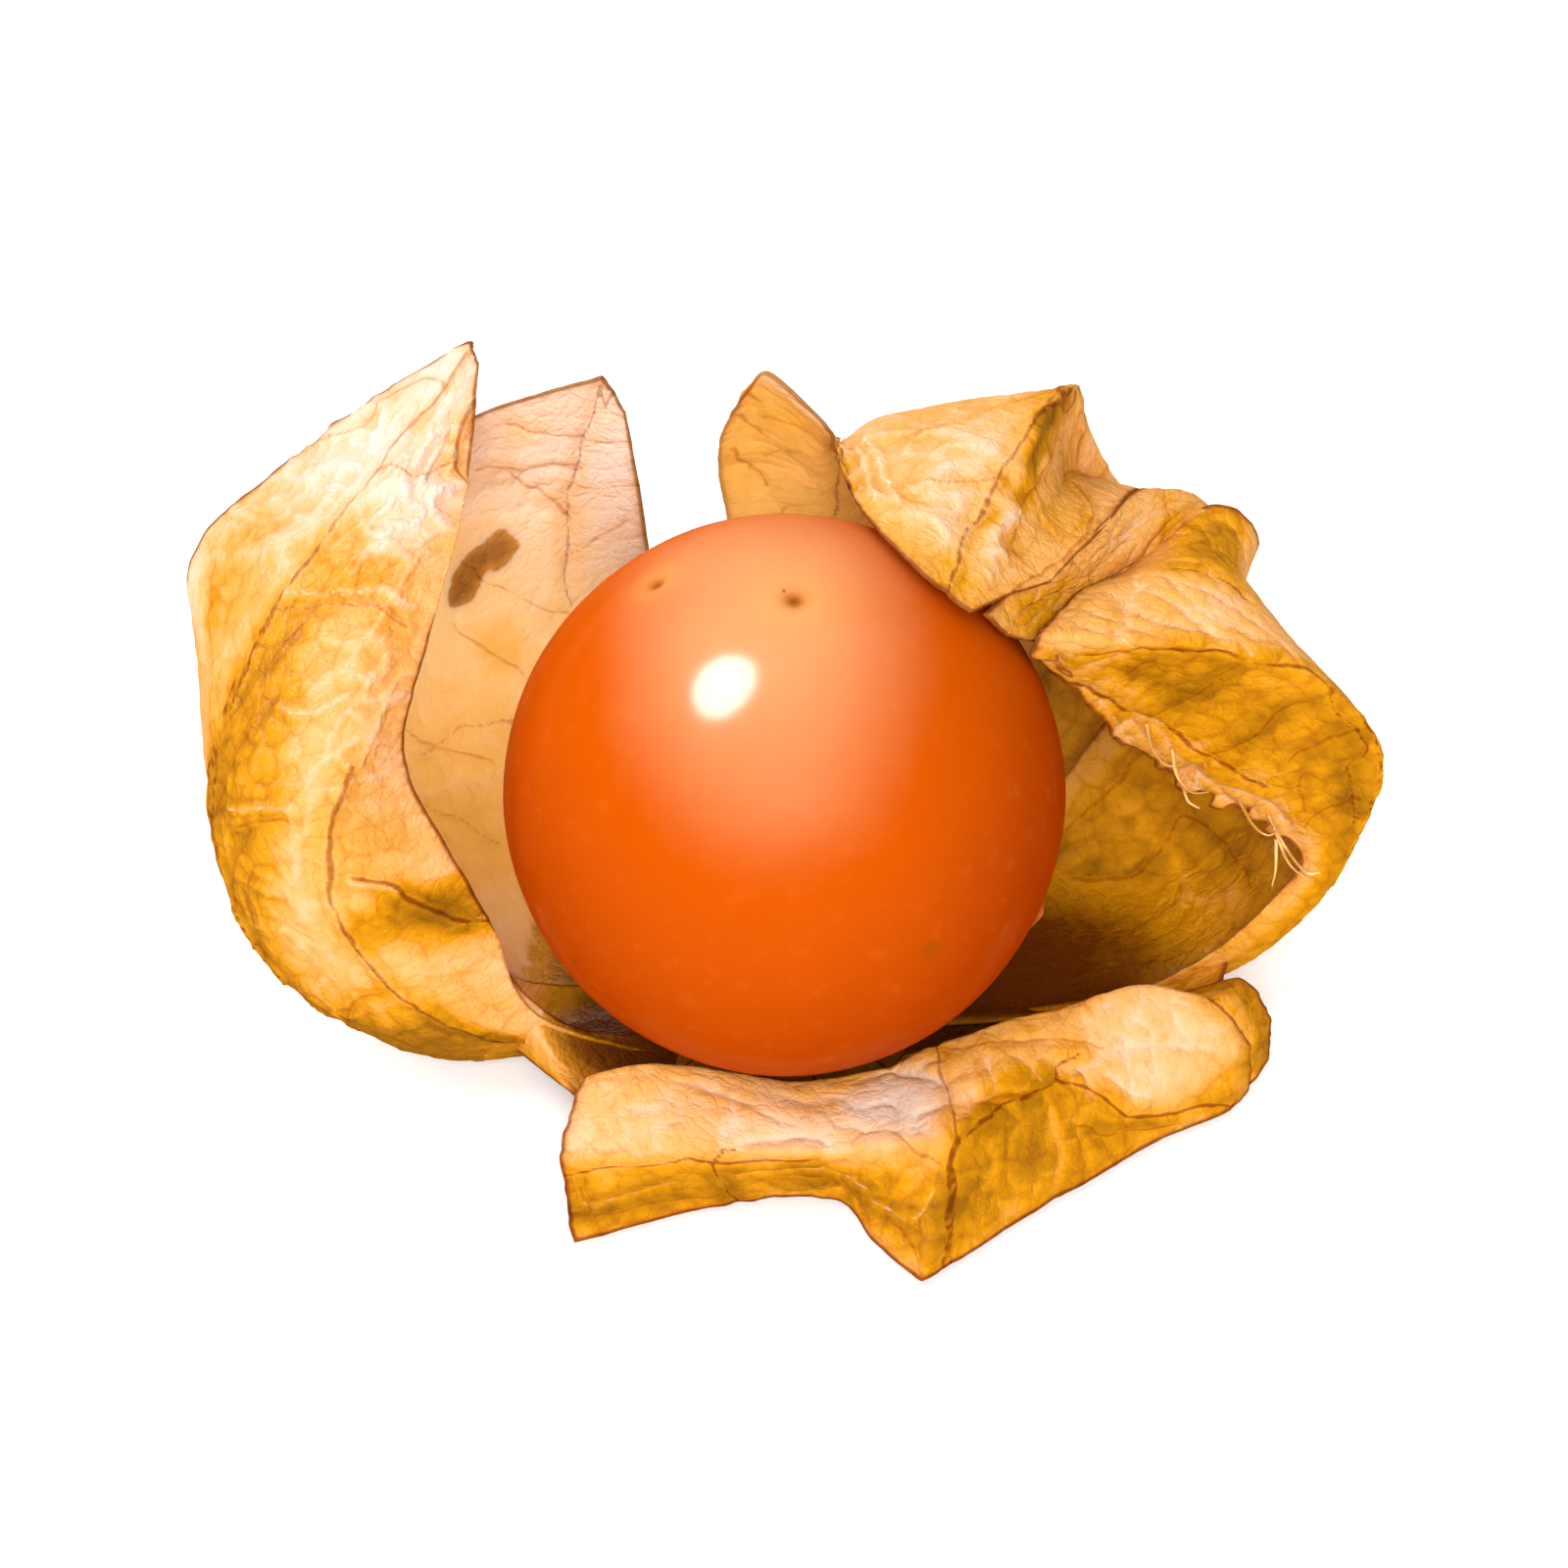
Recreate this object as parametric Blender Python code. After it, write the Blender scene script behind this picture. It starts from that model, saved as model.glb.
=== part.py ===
"""A cape gooseberry (physalis) lying in its opened, papery husk.

The berry is one round solid. Its husk, the dried calyx, is torn open into five
lobes round a small base. Two stand as a wall behind the berry, one bellies out
on its left, one arches over its right side and one is folded down in front.

Every lobe is a sheet through a few ribs. A rib is a line from the base to the
tip, and its points are in millimetres from the spot on the ground straight
below the middle of the berry: x to the right, y to the back, z up.
"""

import math

import bmesh
import bpy
from mathutils import Vector

MM = 0.001

BERRY_DIAMETER = 19.0
BERRY_MIDDLE_HEIGHT = 11.8
BERRY_SEGMENTS = 40
BERRY_RINGS = 24

HUSK_THICKNESS = 0.36
STEPS_ALONG = 3
STEPS_ACROSS = 3

GAP = 0.3
BASE_FOOT_RADIUS = 3.0
BASE_RIM_RADIUS = 3.9
BASE_RIM_HEIGHT = 0.6
BASE_SEGMENTS = 32

STALK_RADIUS = 0.65
STALK_SIDES = 10

ORANGE = (0.83, 0.20, 0.02)
PEACH = (0.86, 0.58, 0.27)
TAN = (0.42, 0.28, 0.12)


# The left lobe bellies out from under the berry. Its midrib, the second rib
# here, is the ridge at the far left, and the lobe ends in a raised tip.
LEFT_RIBS = [
    [(-4.6, 0.9, 1.0), (-10.5, 2.7, 0.9), (-16.8, 5.0, 4.4), (-19.9, 7.5, 11.4),
     (-20.3, 9.9, 13.1), (-16.0, 13.5, 16.0), (-10.9, 13.7, 20.2)],
    [(-4.7, 0.0, 1.0), (-10.8, -0.5, 0.4), (-17.0, -0.4, 3.0), (-19.4, 0.8, 9.5),
     (-18.0, 4.3, 14.6), (-13.8, 9.3, 18.0), (-10.6, 13.3, 20.4)],
    [(-4.6, -0.8, 1.0), (-11.6, -2.4, 1.2), (-16.4, -2.0, 4.6), (-17.6, -0.9, 10.9),
     (-16.2, 3.0, 15.1), (-13.2, 8.2, 17.8), (-10.6, 13.1, 20.3)],
    [(-4.4, -1.5, 1.0), (-10.9, -3.2, 3.6), (-14.2, -3.0, 8.1), (-15.0, -1.2, 12.2),
     (-14.0, 2.6, 15.3), (-12.2, 8.0, 17.5), (-10.5, 12.9, 20.1)],
    [(-4.2, -2.1, 1.0), (-8.5, -2.9, 4.2), (-10.0, -1.7, 7.8), (-12.7, 1.0, 12.2),
     (-11.9, 4.0, 15.2), (-10.9, 8.9, 17.4), (-10.4, 12.6, 19.7)],
]

# The back left lobe stands as a wall behind the berry, a little behind the
# left lobe's free edge. It ends in a folded point.
BACK_LEFT_RIBS = [
    [(-4.8, 0.5, 2.0), (-9.8, 1.0, 2.2), (-14.4, 5.6, 6.2), (-15.0, 11.8, 11.6),
     (-12.9, 14.2, 15.1)],
    [(-4.2, 2.2, 1.7), (-8.6, 5.8, 2.7), (-11.8, 10.0, 7.2), (-10.9, 13.4, 12.8),
     (-9.6, 14.6, 16.4)],
    [(-3.2, 3.6, 1.4), (-5.6, 8.8, 3.0), (-7.7, 12.4, 7.9), (-7.4, 13.8, 13.2),
     (-6.3, 14.5, 17.7)],
    [(-2.5, 4.1, 1.4), (-3.4, 9.2, 3.0), (-4.4, 12.8, 8.0), (-4.9, 13.3, 12.5),
     (-5.5, 14.1, 16.4)],
]

# The back right lobe stands up behind the berry, narrow at its left side.
# Further right it folds forward over the berry and ends in a point there.
BACK_RIGHT_RIBS = [
    [(0.3, 4.8, 1.4), (-0.2, 9.2, 2.8), (-1.4, 13.0, 8.0), (-2.2, 14.1, 12.4),
     (-2.3, 14.4, 14.4), (-1.9, 14.4, 15.8), (-1.3, 14.3, 17.2)],
    [(0.9, 4.7, 1.4), (0.8, 9.4, 2.8), (0.0, 13.2, 8.2), (-0.7, 14.3, 12.6),
     (-0.9, 14.5, 15.0), (-0.8, 14.5, 16.8), (-0.5, 14.3, 18.1)],
    [(1.6, 4.5, 1.4), (2.3, 9.6, 2.8), (2.2, 12.8, 8.2), (1.5, 13.4, 12.2),
     (1.3, 13.4, 14.4), (1.3, 13.3, 15.8), (1.4, 13.0, 16.9)],
    [(2.1, 4.4, 1.4), (3.8, 9.8, 2.8), (4.6, 12.8, 8.2), (3.8, 13.6, 13.0),
     (3.4, 13.0, 17.2), (2.9, 9.2, 19.2), (2.5, 5.0, 20.2)],
    [(2.5, 4.2, 1.4), (5.4, 9.9, 2.7), (7.4, 13.0, 7.8), (7.4, 13.8, 13.4),
     (6.6, 12.8, 18.5), (5.2, 7.0, 20.4), (4.2, 1.6, 20.7)],
    [(2.9, 4.0, 1.4), (6.9, 9.8, 2.5), (10.0, 12.9, 7.4), (10.5, 13.5, 13.4),
     (10.0, 12.3, 19.4), (7.5, 6.2, 20.0), (6.1, 0.2, 20.0)],
    [(3.1, 3.8, 1.4), (8.2, 9.7, 2.2), (12.0, 12.6, 7.0), (12.6, 13.0, 12.4),
     (10.4, 12.0, 17.0), (9.0, 6.6, 18.8), (7.4, 1.8, 19.4)],
    [(3.3, 3.6, 1.4), (9.2, 9.4, 1.9), (13.4, 12.2, 6.6), (14.2, 12.4, 11.6),
     (12.6, 11.1, 15.3), (10.8, 6.8, 17.6), (8.9, 3.4, 18.4)],
]

# The right lobe arches over from the ground. Its midrib, the third rib here, is
# the outer rim, and the last rib is the torn edge of the arch.
RIGHT_RIBS = [
    [(3.9, 2.6, 1.2), (7.9, 7.2, 1.4), (11.0, 10.0, 4.9), (13.6, 10.9, 9.4),
     (15.6, 10.2, 12.8), (14.9, 10.2, 15.0), (12.3, 8.8, 14.6)],
    [(4.5, 1.4, 1.1), (11.8, 4.8, 0.6), (16.6, 7.0, 3.4), (18.6, 7.0, 8.8),
     (17.0, 6.2, 13.4), (14.4, 6.3, 16.2), (10.6, 5.2, 16.2)],
    [(4.7, 0.3, 1.1), (13.2, 1.0, 0.6), (18.3, 1.6, 4.6), (20.4, 2.4, 10.4),
     (18.4, 2.8, 14.1), (14.9, 2.5, 16.1), (9.2, 2.0, 16.8)],
    [(4.7, -0.3, 1.1), (12.9, 0.6, 1.2), (17.9, 1.6, 5.4), (18.2, 1.8, 8.6),
     (15.9, 2.2, 11.2), (12.9, 2.5, 13.4), (9.2, 2.1, 16.3)],
    [(4.6, -0.9, 1.1), (12.5, 0.4, 1.6), (17.4, 1.9, 5.9), (16.4, 2.6, 7.4),
     (13.8, 3.0, 8.6), (11.3, 3.1, 11.0), (9.1, 2.2, 15.8)],
]

# The front lobe comes out from under the berry, rises to a crest in front of
# it, folds over and comes down to the ground, where its edge turns under.
FRONT_RIBS = [
    [(-3.3, -3.3, 1.0), (-5.4, -4.5, 1.4), (-6.9, -6.0, 4.0), (-7.8, -8.5, 3.0),
     (-7.1, -9.5, 0.4)],
    [(-2.2, -4.1, 1.0), (-3.4, -5.0, 1.5), (-4.2, -5.6, 4.5), (-3.2, -8.5, 3.2),
     (-2.4, -8.4, 0.3)],
    [(-0.6, -4.6, 1.0), (-0.2, -5.2, 1.5), (0.3, -5.8, 3.9), (1.2, -8.5, 3.4),
     (1.8, -8.0, 0.3)],
    [(0.7, -4.6, 1.0), (2.2, -5.0, 1.6), (3.1, -5.6, 4.2), (3.7, -8.6, 3.8),
     (3.1, -9.9, 0.3)],
    [(1.8, -4.3, 1.0), (4.2, -4.4, 1.8), (5.4, -5.0, 4.8), (5.8, -8.3, 4.3),
     (4.8, -11.3, 0.3)],
    [(2.9, -3.6, 1.0), (6.4, -3.2, 1.8), (8.8, -3.7, 5.1), (9.4, -5.8, 4.0),
     (9.1, -7.4, 0.3)],
    [(3.6, -2.9, 1.0), (8.6, -2.2, 1.7), (12.2, -2.3, 4.8), (12.3, -4.9, 2.3),
     (12.8, -4.4, 0.3)],
    [(4.0, -2.3, 1.0), (9.8, -1.5, 1.7), (14.9, -2.0, 3.7), (15.5, -3.1, 1.9),
     (15.2, -3.3, 0.3)],
    [(4.2, -2.0, 1.0), (10.2, -1.0, 1.8), (15.7, -0.5, 3.3), (16.8, -0.9, 1.9),
     (16.8, -1.4, 0.3)],
]

# The stalk leaves the base at the back and lies down along the ground, in the
# gap between the two lobes at the back.
STALK_ROUTE = [(-1.0, 4.4, 0.9), (-1.2, 7.0, 0.75), (-1.9, 10.0, 0.7), (-3.2, 13.2, 0.7)]


def clear_scene():
    """Remove everything that the file opens with."""
    for thing in list(bpy.data.objects):
        bpy.data.objects.remove(thing, do_unlink=True)


def make_material(name, color, roughness):
    material = bpy.data.materials.new(name)
    material.use_nodes = True
    shader = material.node_tree.nodes["Principled BSDF"]
    shader.inputs["Base Color"].default_value = (*color, 1.0)
    shader.inputs["Roughness"].default_value = roughness
    shader.inputs["Metallic"].default_value = 0.0
    return material


def make_object(name, shape, material):
    """Turn a bmesh into a named object, and free the bmesh."""
    mesh = bpy.data.meshes.new(name)
    shape.to_mesh(mesh)
    shape.free()
    mesh.materials.append(material)
    piece = bpy.data.objects.new(name, mesh)
    bpy.context.scene.collection.objects.link(piece)
    return piece


def curve_through(points, steps):
    """Points of a smooth curve through the given ones, steps to each span."""
    last = len(points) - 1
    slopes = []
    for index in range(last + 1):
        before = points[max(index - 1, 0)]
        after = points[min(index + 1, last)]
        spans = min(index + 1, last) - max(index - 1, 0)
        slopes.append((after - before) / spans)
    curve = []
    for index in range(last):
        for step in range(steps):
            t = step / steps
            rise = t * t * (3.0 - 2.0 * t)
            curve.append(
                points[index] * (1.0 - rise)
                + points[index + 1] * rise
                + slopes[index] * (t * (1.0 - t) ** 2)
                - slopes[index + 1] * (t * t * (1.0 - t))
            )
    curve.append(points[last])
    return curve


def sheet_grid(ribs):
    """Rows of points of the smooth sheet through the ribs, base row first."""
    long_ribs = [curve_through([Vector(p) for p in rib], STEPS_ALONG) for rib in ribs]
    return [curve_through(list(row), STEPS_ACROSS) for row in zip(*long_ribs)]


def sheet_normal(grid, row, column):
    """The sheet's normal at one point of its grid, from the points round it."""
    rows = len(grid) - 1
    columns = len(grid[0]) - 1
    along = grid[min(row + 1, rows)][column] - grid[max(row - 1, 0)][column]
    across = grid[row][min(column + 1, columns)] - grid[row][max(column - 1, 0)]
    return along.cross(across).normalized()


def make_lobe(name, ribs, material):
    """One husk lobe: the sheet through its ribs, as a thin closed solid."""
    grid = sheet_grid(ribs)
    rows = len(grid)
    columns = len(grid[0])
    shape = bmesh.new()
    sides = []
    for side in (1.0, -1.0):
        offset = side * HUSK_THICKNESS / 2.0
        layer = []
        for row in range(rows):
            points = []
            for column in range(columns):
                place = grid[row][column] + sheet_normal(grid, row, column) * offset
                points.append(shape.verts.new(place * MM))
            layer.append(points)
        sides.append(layer)
    front, back = sides
    for row in range(rows - 1):
        for column in range(columns - 1):
            corners = [(row, column), (row, column + 1), (row + 1, column + 1), (row + 1, column)]
            shape.faces.new([front[r][c] for r, c in corners])
            shape.faces.new([back[r][c] for r, c in reversed(corners)])
    rim = [(row, 0) for row in range(rows)]
    rim += [(rows - 1, column) for column in range(1, columns)]
    rim += [(row, columns - 1) for row in range(rows - 2, -1, -1)]
    rim += [(0, column) for column in range(columns - 2, 0, -1)]
    for index, here in enumerate(rim):
        there = rim[(index + 1) % len(rim)]
        shape.faces.new([
            front[here[0]][here[1]],
            front[there[0]][there[1]],
            back[there[0]][there[1]],
            back[here[0]][here[1]],
        ])
    bmesh.ops.recalc_face_normals(shape, faces=shape.faces)
    piece = make_object(name, shape, material)
    piece.data.shade_smooth()
    return piece


def make_berry(material):
    shape = bmesh.new()
    bmesh.ops.create_uvsphere(
        shape,
        u_segments=BERRY_SEGMENTS,
        v_segments=BERRY_RINGS,
        radius=BERRY_DIAMETER / 2.0 * MM,
    )
    piece = make_object("berry", shape, material)
    piece.location = (0.0, 0.0, BERRY_MIDDLE_HEIGHT * MM)
    piece.data.shade_smooth()
    return piece


def make_base(material):
    """The fused foot of the husk, turned, with a small seat for the berry."""
    seat_height = BERRY_MIDDLE_HEIGHT - BERRY_DIAMETER / 2.0 - GAP
    profile = [
        (BASE_FOOT_RADIUS, 0.0),
        (BASE_RIM_RADIUS, BASE_RIM_HEIGHT),
        (BASE_RIM_RADIUS * 0.85, BASE_RIM_HEIGHT * 1.9),
        (BASE_RIM_RADIUS * 0.45, seat_height * 0.85),
        (BASE_RIM_RADIUS * 0.28, seat_height),
    ]
    shape = bmesh.new()
    rings = []
    for radius, height in profile:
        ring = []
        for segment in range(BASE_SEGMENTS):
            angle = 2.0 * math.pi * segment / BASE_SEGMENTS
            place = Vector((radius * math.cos(angle), radius * math.sin(angle), height))
            ring.append(shape.verts.new(place * MM))
        rings.append(ring)
    for lower, upper in zip(rings, rings[1:]):
        for segment in range(BASE_SEGMENTS):
            following = (segment + 1) % BASE_SEGMENTS
            shape.faces.new([lower[segment], lower[following], upper[following], upper[segment]])
    shape.faces.new(list(reversed(rings[0])))
    shape.faces.new(rings[-1])
    return make_object("husk_base", shape, material)


def make_stalk(material):
    """The short dry stalk, a round rod along its route."""
    route = curve_through([Vector(p) for p in STALK_ROUTE], 3)
    shape = bmesh.new()
    rings = []
    for index, place in enumerate(route):
        ahead = route[min(index + 1, len(route) - 1)]
        behind = route[max(index - 1, 0)]
        run = (ahead - behind).normalized()
        side = run.cross(Vector((0.0, 0.0, 1.0))).normalized()
        up = side.cross(run)
        ring = []
        for step in range(STALK_SIDES):
            angle = 2.0 * math.pi * step / STALK_SIDES
            reach = side * math.cos(angle) + up * math.sin(angle)
            ring.append(shape.verts.new((place + reach * STALK_RADIUS) * MM))
        rings.append(ring)
    for near, far in zip(rings, rings[1:]):
        for step in range(STALK_SIDES):
            following = (step + 1) % STALK_SIDES
            shape.faces.new([near[step], near[following], far[following], far[step]])
    shape.faces.new(list(reversed(rings[0])))
    shape.faces.new(rings[-1])
    bmesh.ops.recalc_face_normals(shape, faces=shape.faces)
    piece = make_object("stalk", shape, material)
    piece.data.shade_smooth()
    return piece


def stand_on_origin():
    """Shift every piece, so that the origin is the middle of the whole box's bottom."""
    bpy.context.view_layer.update()
    pieces = list(bpy.context.scene.objects)
    corners = [piece.matrix_world @ v.co for piece in pieces for v in piece.data.vertices]
    shift = Vector((0.0, 0.0, -min(c.z for c in corners)))
    for axis in (0, 1):
        shift[axis] = -(min(c[axis] for c in corners) + max(c[axis] for c in corners)) / 2.0
    for piece in pieces:
        piece.location += shift


def main():
    clear_scene()
    flesh = make_material("berry_skin", ORANGE, 0.3)
    paper = make_material("husk_paper", PEACH, 0.65)
    bark = make_material("stalk_bark", TAN, 0.8)
    make_berry(flesh)
    make_base(paper)
    make_stalk(bark)
    make_lobe("husk_left_lobe", LEFT_RIBS, paper)
    make_lobe("husk_back_left_lobe", BACK_LEFT_RIBS, paper)
    make_lobe("husk_back_right_lobe", BACK_RIGHT_RIBS, paper)
    make_lobe("husk_right_lobe", RIGHT_RIBS, paper)
    make_lobe("husk_front_lobe", FRONT_RIBS, paper)
    stand_on_origin()


main()
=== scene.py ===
# %% [markdown]
# # A physalis berry in its opened husk
#
# A physalis is a glossy orange berry that grows inside a papery lantern, the
# husk. The husk is the flower's calyx, five leaf-like lobes that swell up round
# the fruit and dry out. Here it is torn open down to its base: the lobes stand,
# arch and fold round the berry.
#
# The solid frame says where every piece is. This script gives each piece its
# fine shape and its finish. Lengths are in millimetres until a mesh is made.

# %% The frame and the tools
import math

import bpy
import numpy as np
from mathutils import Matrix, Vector
from mathutils.bvhtree import BVHTree
from mathutils.kdtree import KDTree


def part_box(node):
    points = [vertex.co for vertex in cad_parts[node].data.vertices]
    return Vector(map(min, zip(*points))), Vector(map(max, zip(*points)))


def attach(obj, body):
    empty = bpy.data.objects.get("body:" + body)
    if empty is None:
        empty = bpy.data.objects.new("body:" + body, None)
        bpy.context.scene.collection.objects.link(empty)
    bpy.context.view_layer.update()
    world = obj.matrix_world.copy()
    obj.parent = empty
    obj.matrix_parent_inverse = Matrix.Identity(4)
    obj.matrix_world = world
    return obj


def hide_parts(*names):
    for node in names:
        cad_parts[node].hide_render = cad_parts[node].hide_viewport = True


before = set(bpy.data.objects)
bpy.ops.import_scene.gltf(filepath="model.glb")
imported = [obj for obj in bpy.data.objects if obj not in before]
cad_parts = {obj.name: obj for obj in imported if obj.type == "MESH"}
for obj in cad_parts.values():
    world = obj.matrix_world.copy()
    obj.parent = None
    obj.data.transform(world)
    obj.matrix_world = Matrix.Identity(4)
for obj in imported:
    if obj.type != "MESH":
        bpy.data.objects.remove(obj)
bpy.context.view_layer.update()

MM = 0.001

# %% [markdown]
# ## Where things are
#
# Everything is placed from the berry: its middle and its radius are read from
# the frame. The spot on the ground straight below its middle is the point that
# the husk's own numbers start from, x to the right, y to the back and z up.

# %% The berry's place
berry_low, berry_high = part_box("berry")
berry_middle = np.array((berry_low + berry_high) / 2.0) / MM
berry_radius = (berry_high.x - berry_low.x) / 2.0 / MM
ground_spot = berry_middle * (1.0, 1.0, 0.0)
print("berry radius, in mm:", round(berry_radius, 2))

# %% [markdown]
# ## Sheets through ribs
#
# Each husk lobe is a thin sheet. A few ribs run through it from the base to the
# tip, like the bent wires of a lantern, and the sheet passes through all of
# them. A place on the sheet has two numbers from 0 to 1: `along`, from base to
# tip, and `across`, from the first rib to the last one. A cubic curve is a sum
# of its points, each with a weight, so a table of weights for each direction
# gives any number of places at once. Where a rib has a crease, the curve may
# turn a corner there, as dry tissue does along a vein.

# %% Weights of a curve
def smooth_rise(t):
    """A rise from 0 to 1 that starts and ends level."""
    return t * t * (3.0 - 2.0 * t)


def curve_weights(creases, places):
    """How much each point of a curve weighs at places from 0 to 1 along it."""
    count = len(creases)
    points = np.eye(count)
    slopes = np.gradient(points, axis=0)
    steps = np.clip(places, 0.0, 1.0) * (count - 1)
    span = np.minimum(steps.astype(int), count - 2)
    t = (steps - span)[:, None]
    rise = smooth_rise(t)
    chord = points[span + 1] - points[span]
    start_crease = np.asarray(creases)[span][:, None]
    end_crease = np.asarray(creases)[span + 1][:, None]
    start = slopes[span] * (1.0 - start_crease) + chord * start_crease
    end = slopes[span + 1] * (1.0 - end_crease) + chord * end_crease
    return (
        points[span] * (1.0 - rise)
        + points[span + 1] * rise
        + start * t * (1.0 - t) ** 2
        - end * t * t * (1.0 - t)
    )


def smooth_weights(count, places):
    """The weights of a curve without creases."""
    return curve_weights([0.0] * count, places)


# %% Places on a sheet
def on_sheet(facts, along, across):
    """Places of a lobe's sheet, for arrays of along and across."""
    ribs = np.asarray(facts["ribs"], float)
    down = curve_weights(facts["ring_creases"] or [0.0] * ribs.shape[1], np.ravel(along))
    over = curve_weights(facts["rib_creases"] or [0.0] * ribs.shape[0], np.ravel(across))
    places = np.einsum("nk,nr,krc->nc", over, down, ribs) + ground_spot
    return places.reshape(*np.shape(along), 3)


def even_numbers(rows, columns):
    """Numbers along and across that are spread evenly over a grid."""
    return np.meshgrid(np.linspace(0, 1, rows), np.linspace(0, 1, columns), indexing="ij")


def whole_grid(facts, rows, columns):
    """An even grid of places over a whole lobe."""
    return on_sheet(facts, *even_numbers(rows, columns))


def running_length(grid, axis):
    """Millimetres from a grid's first edge to each of its places, down it or across it."""
    steps = np.linalg.norm(np.diff(grid, axis=axis), axis=-1)
    before = [(1, 0) if side == axis else (0, 0) for side in (0, 1)]
    return np.pad(np.cumsum(steps, axis=axis), before)


# %% [markdown]
# ## Noise and cells
#
# Dry tissue is uneven at every size. Smooth noise is read from a seeded block of
# random numbers, so it is the same on every run. Cells come from one random
# point in each square of a grid: the lines where two points are equally near
# are the walls of the cells, which look like the net of veins in a leaf.

# %% Seeded noise
LATTICE = 32
FOLD_SHARPNESS = 5


def smooth_noise(places, size, seed):
    """Noise from -1 to 1 at places with 3 numbers each, its swells about size wide."""
    block = np.random.default_rng(seed).uniform(-1.0, 1.0, (LATTICE,) * 3)
    scaled = np.asarray(places) / size
    cell = np.floor(scaled).astype(int)
    t = smooth_rise(scaled - cell)
    total = np.zeros(scaled.shape[:-1])
    for corner in np.ndindex(2, 2, 2):
        share = np.prod(np.where(corner, t, 1.0 - t), axis=-1)
        i, j, k = np.moveaxis((cell + corner) % LATTICE, -1, 0)
        total += block[i, j, k] * share
    return total


def layered_noise(places, size, seed, layers=3):
    """Noise with finer and weaker noise laid over it."""
    total = 0.0
    for layer in range(layers):
        total = total + smooth_noise(places, size / 2.0**layer, seed + layer) / 2.0**layer
    return total


def folds(places, size, seed):
    """Crumple folds from 0 to 1: sharp crests with smooth hollows between them."""
    return (1.0 - np.abs(smooth_noise(places, size, seed))) ** FOLD_SHARPNESS


# %% Cells
CELL_TABLE = 64
CELL_MARGIN = 0.1
FAR_AWAY = 9.0


def cells(flat, size, seed):
    """Distances to the nearest cell wall, and a number from -1 to 1 for each place's cell."""
    draw = np.random.default_rng(seed)
    points = draw.uniform(CELL_MARGIN, 1.0 - CELL_MARGIN, (CELL_TABLE, CELL_TABLE, 2))
    numbers = draw.uniform(-1.0, 1.0, (CELL_TABLE, CELL_TABLE))
    scaled = flat / size
    square = np.floor(scaled).astype(int)
    nearest = np.full(scaled.shape[:-1], FAR_AWAY)
    second = nearest.copy()
    number = np.zeros_like(nearest)
    for step in np.ndindex(3, 3):
        there = square + np.array(step) - 1
        i, j = np.moveaxis(there % CELL_TABLE, -1, 0)
        distance = np.linalg.norm(scaled - there - points[i, j], axis=-1)
        number = np.where(distance < nearest, numbers[i, j], number)
        second = np.minimum(second, np.maximum(nearest, distance))
        nearest = np.minimum(nearest, distance)
    return (second - nearest) * size / 2.0, number


# %% [markdown]
# ## From a grid to a closed sheet
#
# A lobe is as thin as paper, but it still has two sides and a rim. The fine grid
# is laid out twice, half a thickness to each side, and a strip of faces closes
# the rim, so that the mesh is one closed solid. Numbers that the finish needs
# later, such as the distance to a vein, are stored on its points, and its flat
# chart, in centimetres, is stored as its UV map.

# %% Mesh helpers
MM_PER_CHART_UNIT = 10.0
TINY = 1e-9


def grid_normals(grid):
    """Unit normals of a grid of places."""
    normal = np.cross(np.gradient(grid, axis=0), np.gradient(grid, axis=1))
    return normal / np.maximum(np.linalg.norm(normal, axis=-1, keepdims=True), TINY)


def add_object(name, data):
    """A new object in the scene, for a mesh, a camera or a light."""
    made = bpy.data.objects.new(name, data)
    bpy.context.scene.collection.objects.link(made)
    return made


def add_piece(name, corners, faces):
    """A smooth mesh object from corners in millimetres."""
    mesh = bpy.data.meshes.new(name)
    mesh.from_pydata(corners * MM, [], faces)
    mesh.shade_smooth()
    return add_object(name, mesh)


def add_marks(piece, marks):
    """Store numbers on a mesh's points, for its finish to read."""
    for mark, values in marks.items():
        layer = piece.data.attributes.new(mark, "FLOAT", "POINT")
        layer.data.foreach_set("value", np.ravel(values).astype(np.float32))


def add_chart(piece, flat):
    """Store a flat place in millimetres for each of a mesh's points, as its UV map."""
    chart = piece.data.uv_layers.new(name="sheet")
    loops = np.empty(len(piece.data.loops), np.int32)
    piece.data.loops.foreach_get("vertex_index", loops)
    spots = flat[loops] / MM_PER_CHART_UNIT
    chart.data.foreach_set("uv", spots.astype(np.float32).ravel())


# %% Closed sheets
def closed_sheet(name, grid, thickness, marks, flat):
    """One closed mesh object for a grid of places, with marks and a chart stored on it."""
    rows, columns = grid.shape[:2]
    reach = grid_normals(grid) * thickness / 2.0
    corners = np.concatenate([(grid + reach).reshape(-1, 3), (grid - reach).reshape(-1, 3)])
    index = np.arange(rows * columns).reshape(rows, columns)
    quads = np.stack([index[:-1, :-1], index[1:, :-1], index[1:, 1:], index[:-1, 1:]], -1)
    quads = quads.reshape(-1, 4)
    rim = np.concatenate([index[0, :-1], index[:-1, -1], index[-1, :0:-1], index[:0:-1, 0]])
    after = np.roll(rim, -1)
    under = rows * columns
    strip = np.stack([rim, rim + under, after + under, after], -1)
    faces = np.concatenate([quads, quads[:, ::-1] + under, strip[:, ::-1]])
    piece = add_piece(name, corners, faces)
    add_marks(piece, {mark: np.tile(np.ravel(values), 2) for mark, values in marks.items()})
    add_chart(piece, np.tile(flat.reshape(-1, 2), (2, 1)))
    return piece


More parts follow.
